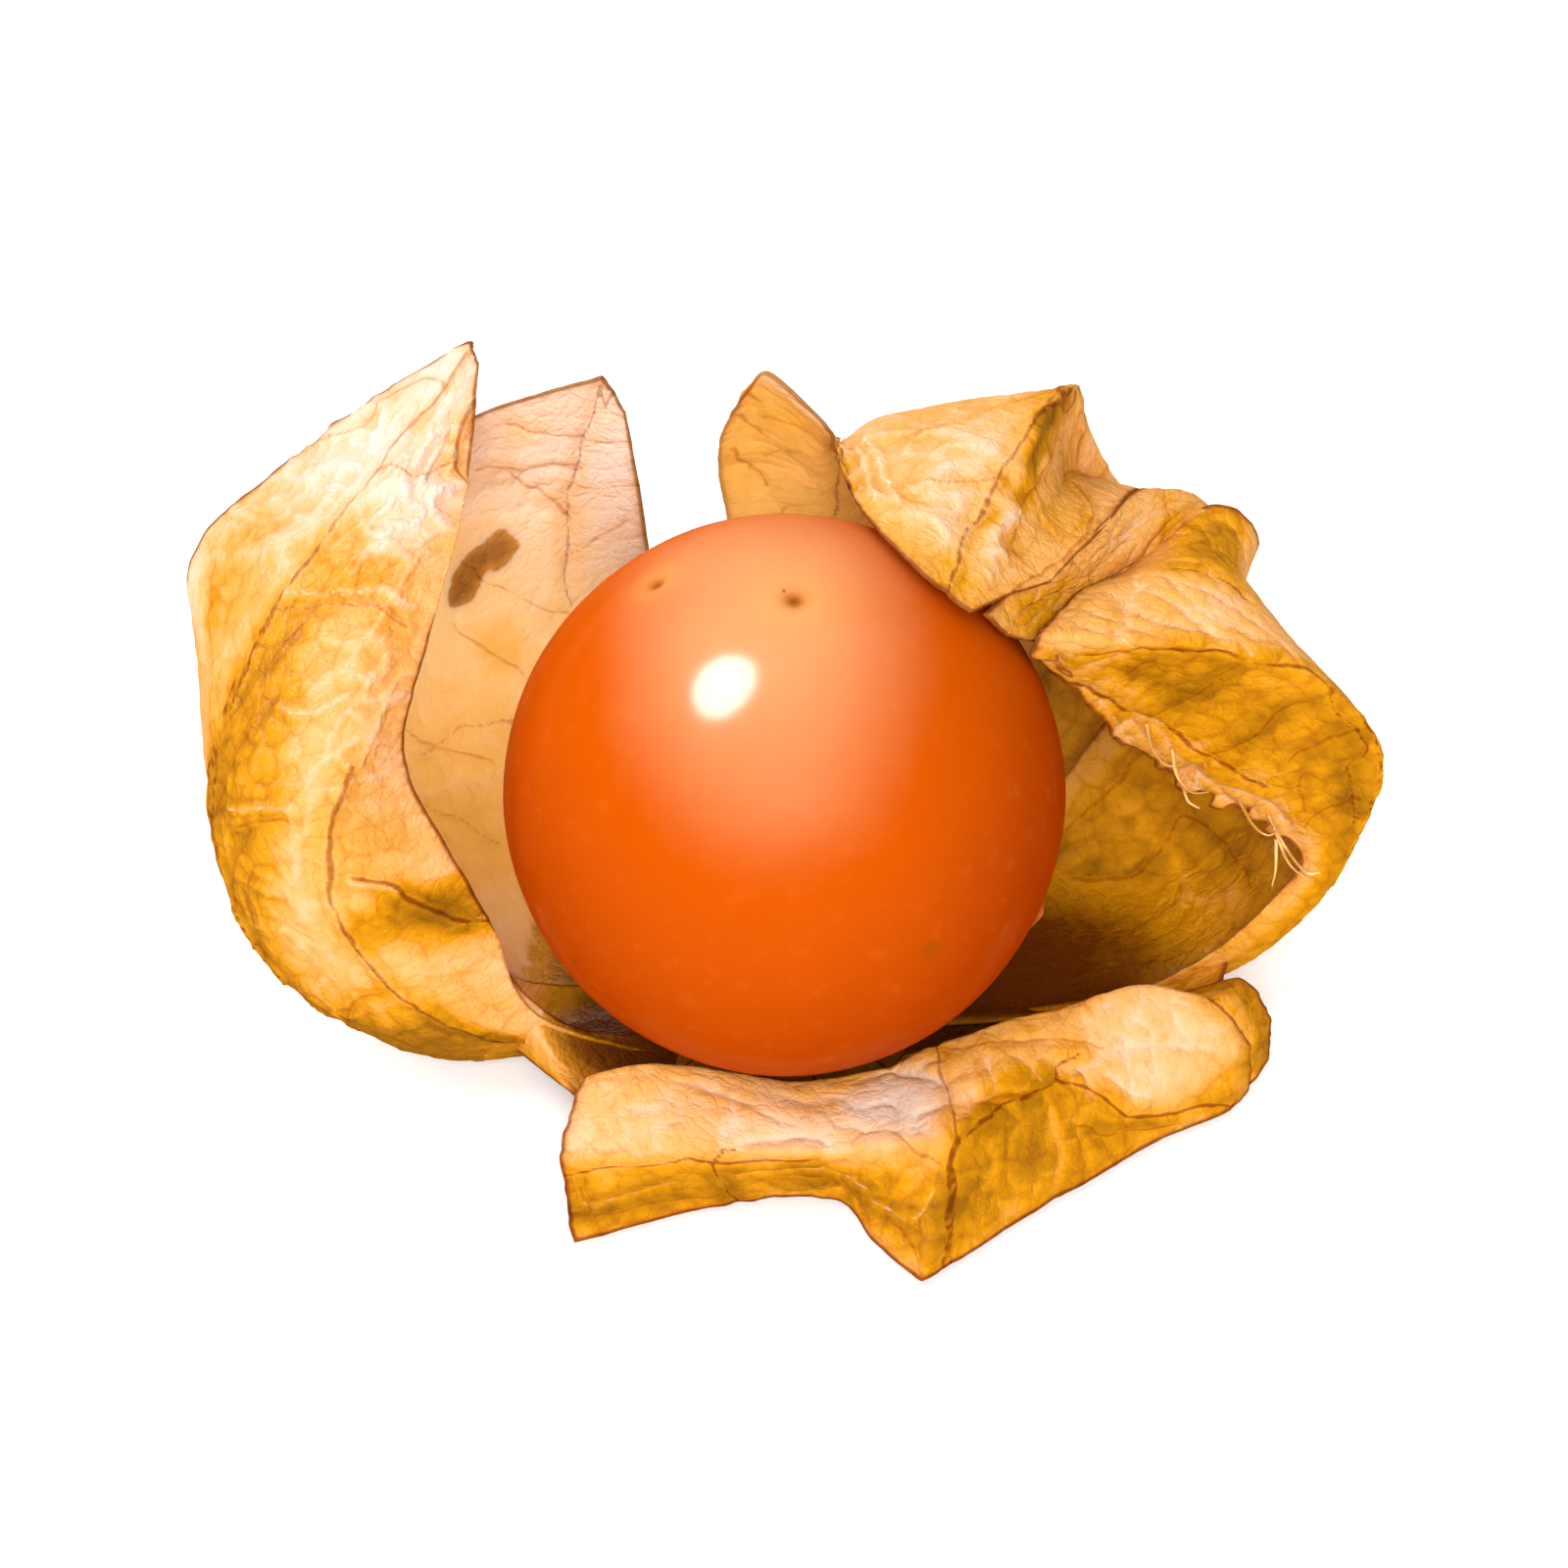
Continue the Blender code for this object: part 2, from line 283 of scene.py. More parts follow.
# %% [markdown]
# ## Veins
#
# A husk has a stiff midrib in each lobe, side veins that leave it towards the
# tip, and a net of fine veins between them. The routes below are laid on the
# sheet with the same two numbers, (along, across). Distances to them are
# measured in the sheet's flat chart, which is the lobe as if it were ironed
# out: a coarse grid of it is laid flat, and springs between its points pull
# until each has its true length again. A plain unwrap would do the same, but
# the springs keep the veins' widths nearly even all over the lobe.

# %% The flat chart
CHART_ROWS = 40
CHART_COLUMNS = 32
IRONING_STEPS = 500
SPRING_PULL = 0.12


def ironed(grid):
    """A coarse grid of places pressed flat, with springs that keep its lengths."""
    width = running_length(grid, 1)
    width = width - width.mean(axis=1, keepdims=True)
    height = np.broadcast_to(running_length(grid, 0).mean(axis=1, keepdims=True), width.shape)
    flat = np.stack([width, height], -1)
    body, ahead, behind = slice(None), slice(1, None), slice(None, -1)
    springs = [
        ((ahead, body), (behind, body)), ((body, ahead), (body, behind)),
        ((ahead, ahead), (behind, behind)), ((ahead, behind), (behind, ahead)),
    ]
    for _ in range(IRONING_STEPS):
        pull = np.zeros_like(flat)
        for one, other in springs:
            rest = np.linalg.norm(grid[one] - grid[other], axis=-1, keepdims=True)
            run = flat[one] - flat[other]
            length = np.maximum(np.linalg.norm(run, axis=-1, keepdims=True), TINY)
            step = run * (rest / length - 1.0) * SPRING_PULL
            pull[one] += step
            pull[other] -= step
        flat = flat + pull
    return flat


def on_chart(chart, along, across):
    """Flat places, in millimetres, for arrays of along and across."""
    down = smooth_weights(chart.shape[0], np.ravel(along))
    over = smooth_weights(chart.shape[1], np.ravel(across))
    rows = np.tensordot(over, chart, axes=(1, 1))
    return np.einsum("nr,nrc->nc", down, rows).reshape(*np.shape(along), 2)


# %% Distances in the chart
VEIN_STEPS = 40


def distance_to(flat, chart, routes):
    """Distance in millimetres from every flat place to the nearest route."""
    if not routes:
        return np.full(flat.shape[:2], FAR_AWAY)
    points = []
    for route in routes:
        steps = np.linspace(0.0, 1.0, VEIN_STEPS * (len(route) - 1))
        along, across = (smooth_weights(len(route), steps) @ np.asarray(route, float)).T
        points.extend(on_chart(chart, along, across))
    tree = KDTree(len(points))
    for number, point in enumerate(points):
        tree.insert((*point, 0.0), number)
    tree.balance()
    found = [tree.find((x, y, 0.0))[2] for x, y in flat.reshape(-1, 2)]
    return np.array(found).reshape(flat.shape[:2])


# %% Side veins that branch from a midrib
UNEVEN_START = 0.2
UNEVEN_REACH = (0.75, 1.1)
UNEVEN_BEND = (0.02, 0.06)
ELBOW = 0.4              # how far out a side vein bends, as a share of its reach
END_BEND = 2.6           # its end lies this many bends ahead of its start


def side_veins(across, reach, first, last, count, seed):
    """Alternate side veins that leave a midrib and bend towards the tip."""
    draw = np.random.default_rng(seed)
    routes = []
    for number in range(count):
        start = first + (last - first) * (number + draw.uniform(-UNEVEN_START, UNEVEN_START)) / count
        side = reach * (1 if number % 2 else -1) * draw.uniform(*UNEVEN_REACH)
        bend = draw.uniform(*UNEVEN_BEND)
        routes.append([
            (start, across),
            (start + bend, across + side * ELBOW),
            (start + bend * END_BEND, across + side),
        ])
    return routes


# %% [markdown]
# ## What each lobe shows
#
# Every lobe of a torn husk dries differently: parts are bleached to a pinkish
# white, parts stay amber, and bruises turn brown. The tables of the next cells
# describe the lobes one after the other.
#
# `ribs` are short lists of places from the base to the tip, counted from the
# spot on the ground below the berry. The solid frame's lobes follow nearly the
# same ribs, so the fine sheets lie in the solids' places. The creases say how
# sharply the sheet may turn at each rib, and at each ring of places from the
# base to the tip. `outside` is the side that the veins stand proud of.
#
# `midribs` and `veins` are routes, and so are the creases, which also carry
# painted glints. A spot is (along, across, reach along, reach across, amount).
# `tones` shift the colour from pale towards amber; most are the tissue's own
# colour, but some paint shade, in a groove and near the foot under the berry.
# The bruise spots turn it brown: most small ones are real bruises, and the large,
# strong ones at the foot paint the berry's shadow. `crumples` wrinkle the sheet.
# `fused` is where an edge has grown together with its neighbour, so that no dark
# rim is drawn, and `thin` is where the sheet lets more light through.
#
# `stretch` draws the wrinkles out along the lobe or over it. `bites` are the
# depths of the bites out of the two long edges, and `torn_points` say where
# tissue is left standing between them, as (along, reach).

# %% A sheet with nothing on it
PLAIN_SHEET = {
    "rib_creases": [],
    "ring_creases": [],
    "midribs": [],
    "veins": [],
    "glint_creases": [],
    "tones": [],
    "bruises_and_shade": [],
    "crumples": [],
    "fused": [],
    "thin": [],
    "stretch": (1.0, 1.0),
    "bites": (0.010, 0.010),
    "torn_points": [],
}
LOBES = {}

# %% [markdown]
# ## The left lobe
#
# The widest lobe bellies out from under the berry and ends in a raised tip. Its
# midrib is the ridge along the outer side of the belly. The wing outside it is
# bleached, the belly stays amber, and a second rib runs up its inner side.

# %% The left lobe
LOBES["left"] = {
    "ribs": [
        [(-4.6, 0.9, 1.0), (-10.5, 2.7, 0.9), (-16.8, 5.0, 4.4), (-20.2, 8.0, 11.6),
         (-20.1, 10.8, 13.7), (-16.0, 13.4, 15.9), (-10.7, 13.5, 20.2)],
        [(-4.7, 0.0, 1.0), (-10.8, -0.5, 0.4), (-17.0, -0.4, 3.0), (-19.4, 0.8, 9.5),
         (-18.0, 4.3, 14.6), (-13.8, 9.3, 18.0), (-10.6, 13.3, 20.4)],
        [(-4.6, -0.8, 1.0), (-11.6, -2.4, 1.2), (-16.4, -2.0, 4.6), (-17.6, -0.9, 10.9),
         (-16.2, 3.0, 15.1), (-13.2, 8.2, 17.8), (-10.6, 13.1, 20.3)],
        [(-4.4, -1.5, 1.0), (-10.9, -3.2, 3.6), (-14.2, -3.0, 8.1), (-15.0, -1.2, 12.2),
         (-14.0, 2.6, 15.3), (-12.2, 8.0, 17.5), (-10.5, 12.9, 20.1)],
        [(-4.2, -2.1, 1.0), (-8.5, -2.9, 4.2), (-10.0, -1.7, 7.8), (-12.7, 1.0, 12.2),
         (-11.9, 4.0, 15.2), (-10.8, 8.9, 17.4), (-10.4, 12.6, 20.0)],
    ],
    "rib_creases": [0.0, 0.9, 0.0, 0.3, 0.0],
    "outside": -1.0,
    "midribs": [
        [(0.02, 0.25), (0.5, 0.25), (0.72, 0.27), (0.835, 0.257), (0.892, 0.275), (0.951, 0.388),
         (0.99, 0.43)],
        [(0.28, 0.262), (0.5, 0.263), (0.7, 0.282)], [(0.32, 0.238), (0.5, 0.238), (0.64, 0.25)],
        [(0.1, 0.76), (0.23, 0.74), (0.33, 0.72), (0.44, 0.72), (0.55, 0.78)],
        [(0.95, 0.99), (0.915, 0.86), (0.88, 0.89), (0.85, 0.98)],
        [(0.41, 0.77), (0.397, 0.839), (0.37, 0.875), (0.345, 0.917), (0.325, 0.985)],
    ],
    "veins": [
        [(0.95, 0.36), (0.93, 0.09), (0.856, 0.093), (0.814, 0.018)],
        [(0.835, 0.26), (0.848, 0.34), (0.869, 0.66), (0.881, 0.8), (0.88, 0.9)],
        [(0.70, 0.28), (0.722, 0.5), (0.73, 0.68), (0.70, 0.85)],
        [(0.505, 0.34), (0.512, 0.5), (0.503, 0.62)],
        [(0.3, 0.3), (0.27, 0.45), (0.28, 0.6), (0.26, 0.7)],
        [(0.45, 0.25), (0.5, 0.14), (0.53, 0.0)],
        [(0.3, 0.25), (0.36, 0.12), (0.38, 0.0)],
    ] + side_veins(0.26, 0.22, 0.12, 0.62, 12, 3),
    "glint_creases": [
        [(0.715, 0.28), (0.735, 0.5), (0.745, 0.7), (0.72, 0.87)],
        [(0.62, 0.46), (0.62, 0.6), (0.635, 0.7)],
        [(0.52, 0.34), (0.525, 0.5), (0.515, 0.62)],
        [(0.405, 0.76), (0.395, 0.82), (0.38, 0.86)],
        [(0.72, 0.02), (0.735, 0.11), (0.755, 0.14)],
    ],
    "base_tone": 0.46,
    "tones": [
        (0.88, 0.12, 0.2, 0.2, -0.20), (0.68, 0.11, 0.07, 0.1, 0.24),
        (0.85, 0.6, 0.065, 0.5, -0.36), (0.955, 0.6, 0.045, 0.6, -0.3), (0.765, 0.52, 0.02, 0.26, 0.14),
        (0.54, 0.40, 0.21, 0.18, 0.33), (0.3, 0.45, 0.06, 0.15, 0.16),
        (0.16, 0.5, 0.12, 0.28, 0.6), (0.34, 0.88, 0.045, 0.14, 0.42),
        (0.44, 0.86, 0.03, 0.1, 0.16), (0.05, 0.5, 0.1, 0.6, 0.4), (0.21, 0.88, 0.05, 0.1, 0.08),
        (0.64, 0.02, 0.08, 0.08, -0.2),
    ],
    # bruise spots: the one at the tip is a real brown bruise; the low one paints shade low on the lobe, and
    # the wide strong one at the foot paints the berry's shadow
    "bruises_and_shade": [(0.14, 0.6, 0.05, 0.2, 0.4), (0.995, 0.35, 0.014, 0.9, 0.6), (0.04, 0.5, 0.07, 0.6, 2.0)],
    "crumples": [
        (0.84, 0.6, 0.08, 0.4, 1.2), (0.82, 0.12, 0.16, 0.14, 1.0), (0.6, 0.75, 0.14, 0.2, 0.6),
        (0.42, 0.45, 0.22, 0.25, 0.45),
    ],
    "fused": [(0.77, 1.0, 0.07, 0.2, 0.6)],
}

# %% [markdown]
# ## The back left lobe
#
# A thin lobe stands behind the berry, with light coming through it. It is pale,
# with a brown mark that an insect or a drop of water may have left.

# %% The back left lobe
LOBES["back_left"] = {
    "ribs": [
        [(-4.8, 0.5, 2.0), (-9.8, 1.0, 2.2), (-14.4, 5.6, 6.2), (-15.0, 11.8, 11.6),
         (-12.9, 14.2, 15.1)],
        [(-4.2, 2.2, 1.7), (-8.6, 5.8, 2.7), (-11.8, 10.0, 7.2), (-10.9, 13.4, 12.8),
         (-9.6, 14.6, 16.4)],
        [(-3.2, 3.6, 1.4), (-5.6, 8.8, 3.0), (-7.7, 12.4, 7.9), (-7.4, 13.8, 13.2), (-6.3, 14.5, 17.7)],
        [(-2.5, 4.1, 1.4), (-3.4, 9.2, 3.0), (-4.4, 12.8, 8.0), (-4.9, 13.3, 12.5), (-5.5, 14.1, 16.4)],
    ],
    "rib_creases": [0.0, 0.2, 0.9, 0.0],
    "outside": 1.0,
    "midribs": [[(0.02, 0.62), (0.5, 0.7), (0.7, 0.66), (1.0, 0.67)]],
    "veins": [
        [(0.79, 0.69), (0.8, 0.5), (0.84, 0.3)],
        [(0.52, 0.17), (0.44, 0.27), (0.38, 0.38)],
        [(0.47, 0.05), (0.38, 0.2), (0.31, 0.26)],
        [(0.47, 0.2), (0.45, 0.32), (0.41, 0.48)],
        [(0.58, 0.36), (0.5, 0.48), (0.43, 0.55), (0.3, 0.6)],
        [(0.85, 0.7), (0.9, 0.93)],
    ] + side_veins(0.68, 0.3, 0.2, 0.92, 9, 5),
    "glint_creases": [[(0.71, 0.47), (0.735, 0.53), (0.75, 0.6)], [(0.8, 0.4), (0.79, 0.55), (0.77, 0.68)]],
    "base_tone": 0.04,
    "tones": [
        (0.4, 0.3, 0.14, 0.4, 0.26), (0.93, 0.45, 0.06, 0.25, 0.1), (0.7, 0.3, 0.04, 0.16, 0.16),
        # the wide spot at the foot, (0.1, 0.5), and the one at (0.35, 0.17) paint the shade near the berry
        (0.1, 0.5, 0.16, 0.8, 0.55), (0.52, 0.5, 0.04, 0.08, 0.28), (0.8, 0.85, 0.1, 0.1, -0.06),
        (0.2, 0.75, 0.12, 0.3, 0.2), (0.35, 0.17, 0.08, 0.14, 0.2),
    ],
    # the two small spots are a real brown mark; the wide strong one at the foot paints the berry's shadow
    "bruises_and_shade": [
        (0.66, 0.46, 0.032, 0.06, 1.2), (0.63, 0.375, 0.042, 0.05, 1.2), (0.04, 0.3, 0.16, 0.7, 2.0),
    ],
    "crumples": [(0.75, 0.45, 0.06, 0.2, 0.8), (0.45, 0.4, 0.15, 0.4, 0.6)],
    "stretch": (0.7, 1.0),
    "thin": [(0.3, 0.3, 0.5, 0.7, 0.44)],
}

# %% [markdown]
# ## The back right lobe
#
# This lobe rises behind the berry as a narrow tip, and its wider side folds
# forward over the berry in a hood. The fold is a rib with a sharp crease.

# %% The back right lobe
LOBES["back_right"] = {
    "ribs": [
        [(0.3, 4.8, 1.4), (-0.2, 9.2, 2.8), (-1.4, 13.0, 8.0), (-2.2, 14.1, 12.4),
         (-2.3, 14.4, 14.4), (-1.9, 14.4, 15.8), (-1.3, 14.3, 17.2)],
        [(0.9, 4.7, 1.4), (0.8, 9.4, 2.8), (0.0, 13.2, 8.2), (-0.7, 14.3, 12.6),
         (-0.9, 14.5, 15.0), (-0.8, 14.5, 16.8), (-0.5, 14.3, 18.1)],
        [(1.6, 4.5, 1.4), (2.3, 9.6, 2.8), (2.2, 12.8, 8.2), (1.5, 13.4, 12.2),
         (1.3, 13.4, 14.4), (1.3, 13.3, 15.8), (1.4, 13.0, 16.9)],
        [(2.1, 4.4, 1.4), (3.8, 9.8, 2.8), (4.6, 12.8, 8.2), (3.8, 13.6, 13.0),
         (3.4, 13.0, 17.0), (2.9, 9.2, 19.1), (2.5, 5.0, 20.2)],
        [(2.5, 4.2, 1.4), (5.4, 9.9, 2.7), (7.4, 13.0, 7.8), (7.4, 13.8, 13.4),
         (6.6, 12.7, 18.2), (5.2, 7.0, 20.4), (4.2, 1.6, 20.7)],
        [(2.9, 4.0, 1.4), (6.9, 9.8, 2.5), (10.0, 12.9, 7.4), (10.5, 13.5, 13.4),
         (10.0, 12.3, 19.4), (7.5, 6.2, 20.0), (6.1, 0.2, 20.0)],
        [(3.1, 3.8, 1.4), (8.2, 9.7, 2.2), (12.0, 12.6, 7.0), (12.6, 13.0, 12.4),
         (9.8, 11.6, 15.8), (9.1, 6.9, 18.3), (7.4, 1.8, 19.3)],
        [(3.3, 3.6, 1.4), (9.2, 9.4, 1.9), (13.4, 12.2, 6.6), (14.2, 12.4, 11.6),
         (12.6, 11.1, 15.3), (10.8, 6.8, 17.6), (8.9, 3.4, 18.4)],
    ],
    "rib_creases": [0.0, 0.0, 0.7, 0.2, 0.2, 0.9, 0.8, 0.3],
    "outside": 1.0,
    "midribs": [
        [(0.02, 0.71), (0.5, 0.7), (0.72, 0.7), (0.82, 0.69), (1.0, 0.65)],
        [(0.4, 0.3), (0.7, 0.32), (0.93, 0.33), (1.0, 0.4)],
    ],
    "veins": [
        [(0.75, 0.88), (0.8, 0.94), (0.86, 0.97), (0.93, 0.96), (1.0, 0.88)],
        [(0.72, 0.77), (0.8, 0.77), (0.86, 0.76), (0.93, 0.78)],
    ] + side_veins(0.7, 0.2, 0.2, 0.95, 12, 7) + side_veins(0.15, 0.12, 0.2, 0.9, 9, 8),
    "glint_creases": [
        [(0.8, 0.42), (0.86, 0.46), (0.93, 0.52)], [(0.76, 0.5), (0.77, 0.6)],
        [(0.84, 0.4), (0.9, 0.44), (0.95, 0.47)],
    ],
    "base_tone": 0.47,
    "tones": [
        (0.6, 0.08, 0.35, 0.16, 0.04), (0.8, 0.22, 0.14, 0.08, 0.12), (0.98, 0.2, 0.05, 0.12, -0.4),
        (0.87, 0.62, 0.08, 0.07, -0.2), (0.88, 0.74, 0.06, 0.025, -0.2), (0.78, 0.5, 0.1, 0.12, -0.06),
        # the spot at (0.77, 0.735) paints the shade in the groove beside the fold, and the wide one at the
        # foot the berry's shade
        (0.77, 0.735, 0.07, 0.035, 0.45), (0.8, 0.87, 0.15, 0.08, 0.14), (0.99, 0.6, 0.03, 0.25, 0.15),
        (0.1, 0.5, 0.2, 0.8, 0.4),
    ],
    # the two small spots are real brown marks; the wide strong one at the foot paints the berry's shadow
    "bruises_and_shade": [(0.76, 0.92, 0.02, 0.035, 0.3), (1.0, 0.63, 0.01, 0.05, 0.5), (0.05, 0.5, 0.1, 0.8, 1.6)],
    "crumples": [
        (0.85, 0.55, 0.15, 0.2, 0.9), (0.9, 0.73, 0.07, 0.04, 1.0), (0.95, 0.32, 0.08, 0.08, 0.9),
        (0.7, 0.12, 0.3, 0.15, 0.7),
    ],
    "stretch": (0.45, 1.0),
    "thin": [(0.6, 0.15, 0.5, 0.2, 0.42)],
}

# %% [markdown]
# ## The right lobe
#
# The right lobe arches over the berry's side like a cave. Its upper edge rolls
# over, its inside shows the veins, and its lower edge is torn: deep bites with
# a few points of tissue left between them.

# %% The right lobe
LOBES["right"] = {
    "ribs": [
        [(3.9, 2.6, 1.2), (7.9, 7.2, 1.4), (11.0, 10.0, 4.9), (13.6, 10.9, 9.4),
         (16.4, 10.9, 13.0), (14.8, 10.8, 15.3), (12.3, 8.8, 14.8)],
        [(4.2, 2.0, 1.15), (9.9, 6.0, 1.0), (13.8, 8.5, 4.1), (16.1, 9.0, 9.0),
         (15.7, 8.5, 13.2), (14.6, 8.4, 15.4), (11.6, 7.0, 15.5)],
        [(4.5, 1.4, 1.1), (11.8, 4.8, 0.6), (16.6, 7.0, 3.4), (18.6, 7.0, 8.8),
         (17.0, 6.2, 13.4), (14.4, 6.3, 16.2), (9.9, 4.6, 16.6)],
        [(4.7, 0.3, 1.1), (13.2, 1.0, 0.6), (18.3, 1.6, 4.6), (20.4, 2.4, 10.4),
         (18.4, 2.8, 14.1), (14.7, 2.5, 16.2), (8.3, 1.7, 17.5)],
        [(4.7, -0.3, 1.1), (12.9, 0.6, 1.2), (17.9, 1.6, 5.4), (18.2, 2.2, 8.4),
         (15.9, 2.7, 10.9), (12.7, 3.0, 13.0), (8.2, 1.7, 17.1)],
        [(4.6, -0.9, 1.1), (12.5, 0.4, 1.6), (17.4, 1.9, 5.9), (16.4, 2.6, 7.4),
         (13.8, 3.0, 8.6), (11.3, 3.1, 11.0), (8.1, 1.8, 16.8)],
    ],
    "rib_creases": [0.2, 0.3, 0.2, 0.9, 0.4, 0.2],
    "outside": -1.0,
    "midribs": [
        [(0.02, 0.6), (0.4, 0.6), (0.64, 0.603), (0.8, 0.612), (0.88, 0.63), (0.95, 0.68)],
        [(0.88, 0.4), (0.86, 0.41), (0.81, 0.415), (0.768, 0.44)],
        [(0.98, 0.9), (0.9, 0.87), (0.8, 0.84), (0.7, 0.85), (0.6, 0.86)],
    ],
    "veins": [
        [(0.72, 0.83), (0.711, 0.79), (0.697, 0.713), (0.674, 0.645)],
        [(0.63, 0.78), (0.624, 0.743), (0.609, 0.696), (0.585, 0.614)],
        [(0.483, 0.853), (0.513, 0.78), (0.495, 0.712), (0.46, 0.6)],
        [(0.68, 0.84), (0.647, 0.846)], [(0.59, 0.76), (0.575, 0.8), (0.527, 0.837)],
        [(0.8, 0.64), (0.81, 0.74), (0.83, 0.82)], [(0.88, 0.66), (0.89, 0.75)],
        [(0.16, 0.06), (0.226, 0.094), (0.286, 0.116), (0.34, 0.125)],
        [(0.175, 0.196), (0.194, 0.275), (0.224, 0.311), (0.276, 0.276), (0.294, 0.28), (0.303, 0.347)],
        [(0.303, 0.347), (0.292, 0.436), (0.288, 0.517)],
        [(0.087, 0.502), (0.129, 0.511), (0.192, 0.538), (0.254, 0.535), (0.3, 0.6)],
        [(0.105, 0.57), (0.15, 0.575), (0.2, 0.59)],
    ],
    "glint_creases": [
        [(0.936, 0.568), (0.904, 0.64)], [(0.912, 0.531), (0.875, 0.558), (0.855, 0.562)],
        [(0.901, 0.476), (0.87, 0.52), (0.845, 0.552)], [(0.841, 0.559), (0.815, 0.57), (0.795, 0.594)],
        [(0.841, 0.462), (0.804, 0.482)], [(0.8, 0.5), (0.76, 0.54), (0.74, 0.58)],
        [(0.97, 0.5), (0.94, 0.53)], [(0.88, 0.44), (0.86, 0.5)],
        [(0.9, 0.9), (0.75, 0.93), (0.6, 0.9), (0.5, 0.93)], [(0.86, 0.96), (0.7, 0.95), (0.58, 0.97)],
        [(0.82, 0.86), (0.74, 0.9), (0.66, 0.95)],
    ],
    "base_tone": 0.52,
    "tones": [
        (0.84, 0.5, 0.14, 0.09, -0.08), (0.85, 0.77, 0.06, 0.06, 0.12), (0.82, 0.18, 0.1, 0.22, 0.3),
        (0.62, 0.72, 0.4, 0.12, 0.3),
        (0.72, 0.94, 0.27, 0.08, 0.05), (0.25, 0.3, 0.18, 0.32, 0.27), (0.12, 0.16, 0.12, 0.27, 0.12),
        (0.95, 0.68, 0.05, 0.08, -0.1), (0.16, 0.9, 0.14, 0.2, 0.14),
    ],
    # the small spot browns the tissue a little; the wide strong one at the foot paints the berry's shadow
    "bruises_and_shade": [(0.12, 0.12, 0.08, 0.12, 0.2), (0.02, 0.5, 0.18, 0.5, 2.2)],
    "crumples": [
        (0.72, 0.94, 0.27, 0.08, 1.3), (0.86, 0.46, 0.12, 0.12, 0.9), (0.95, 0.7, 0.05, 0.2, 1.0),
        (0.25, 0.3, 0.12, 0.25, 0.4), (0.8, 0.15, 0.1, 0.2, 0.6),
    ],
    "stretch": (1.0, 0.55),
    "bites": (0.015, 0.06),
    "torn_points": [(0.68, 0.018), (0.61, 0.014), (0.54, 0.012), (0.48, 0.02), (0.83, 0.02)],
}

# %% [markdown]
# ## The front lobe
#
# The front lobe is folded down to the ground, so its ribs run up, over the fold
# and down again. Its midrib stands out as a dark keel, with a pocket beside it.

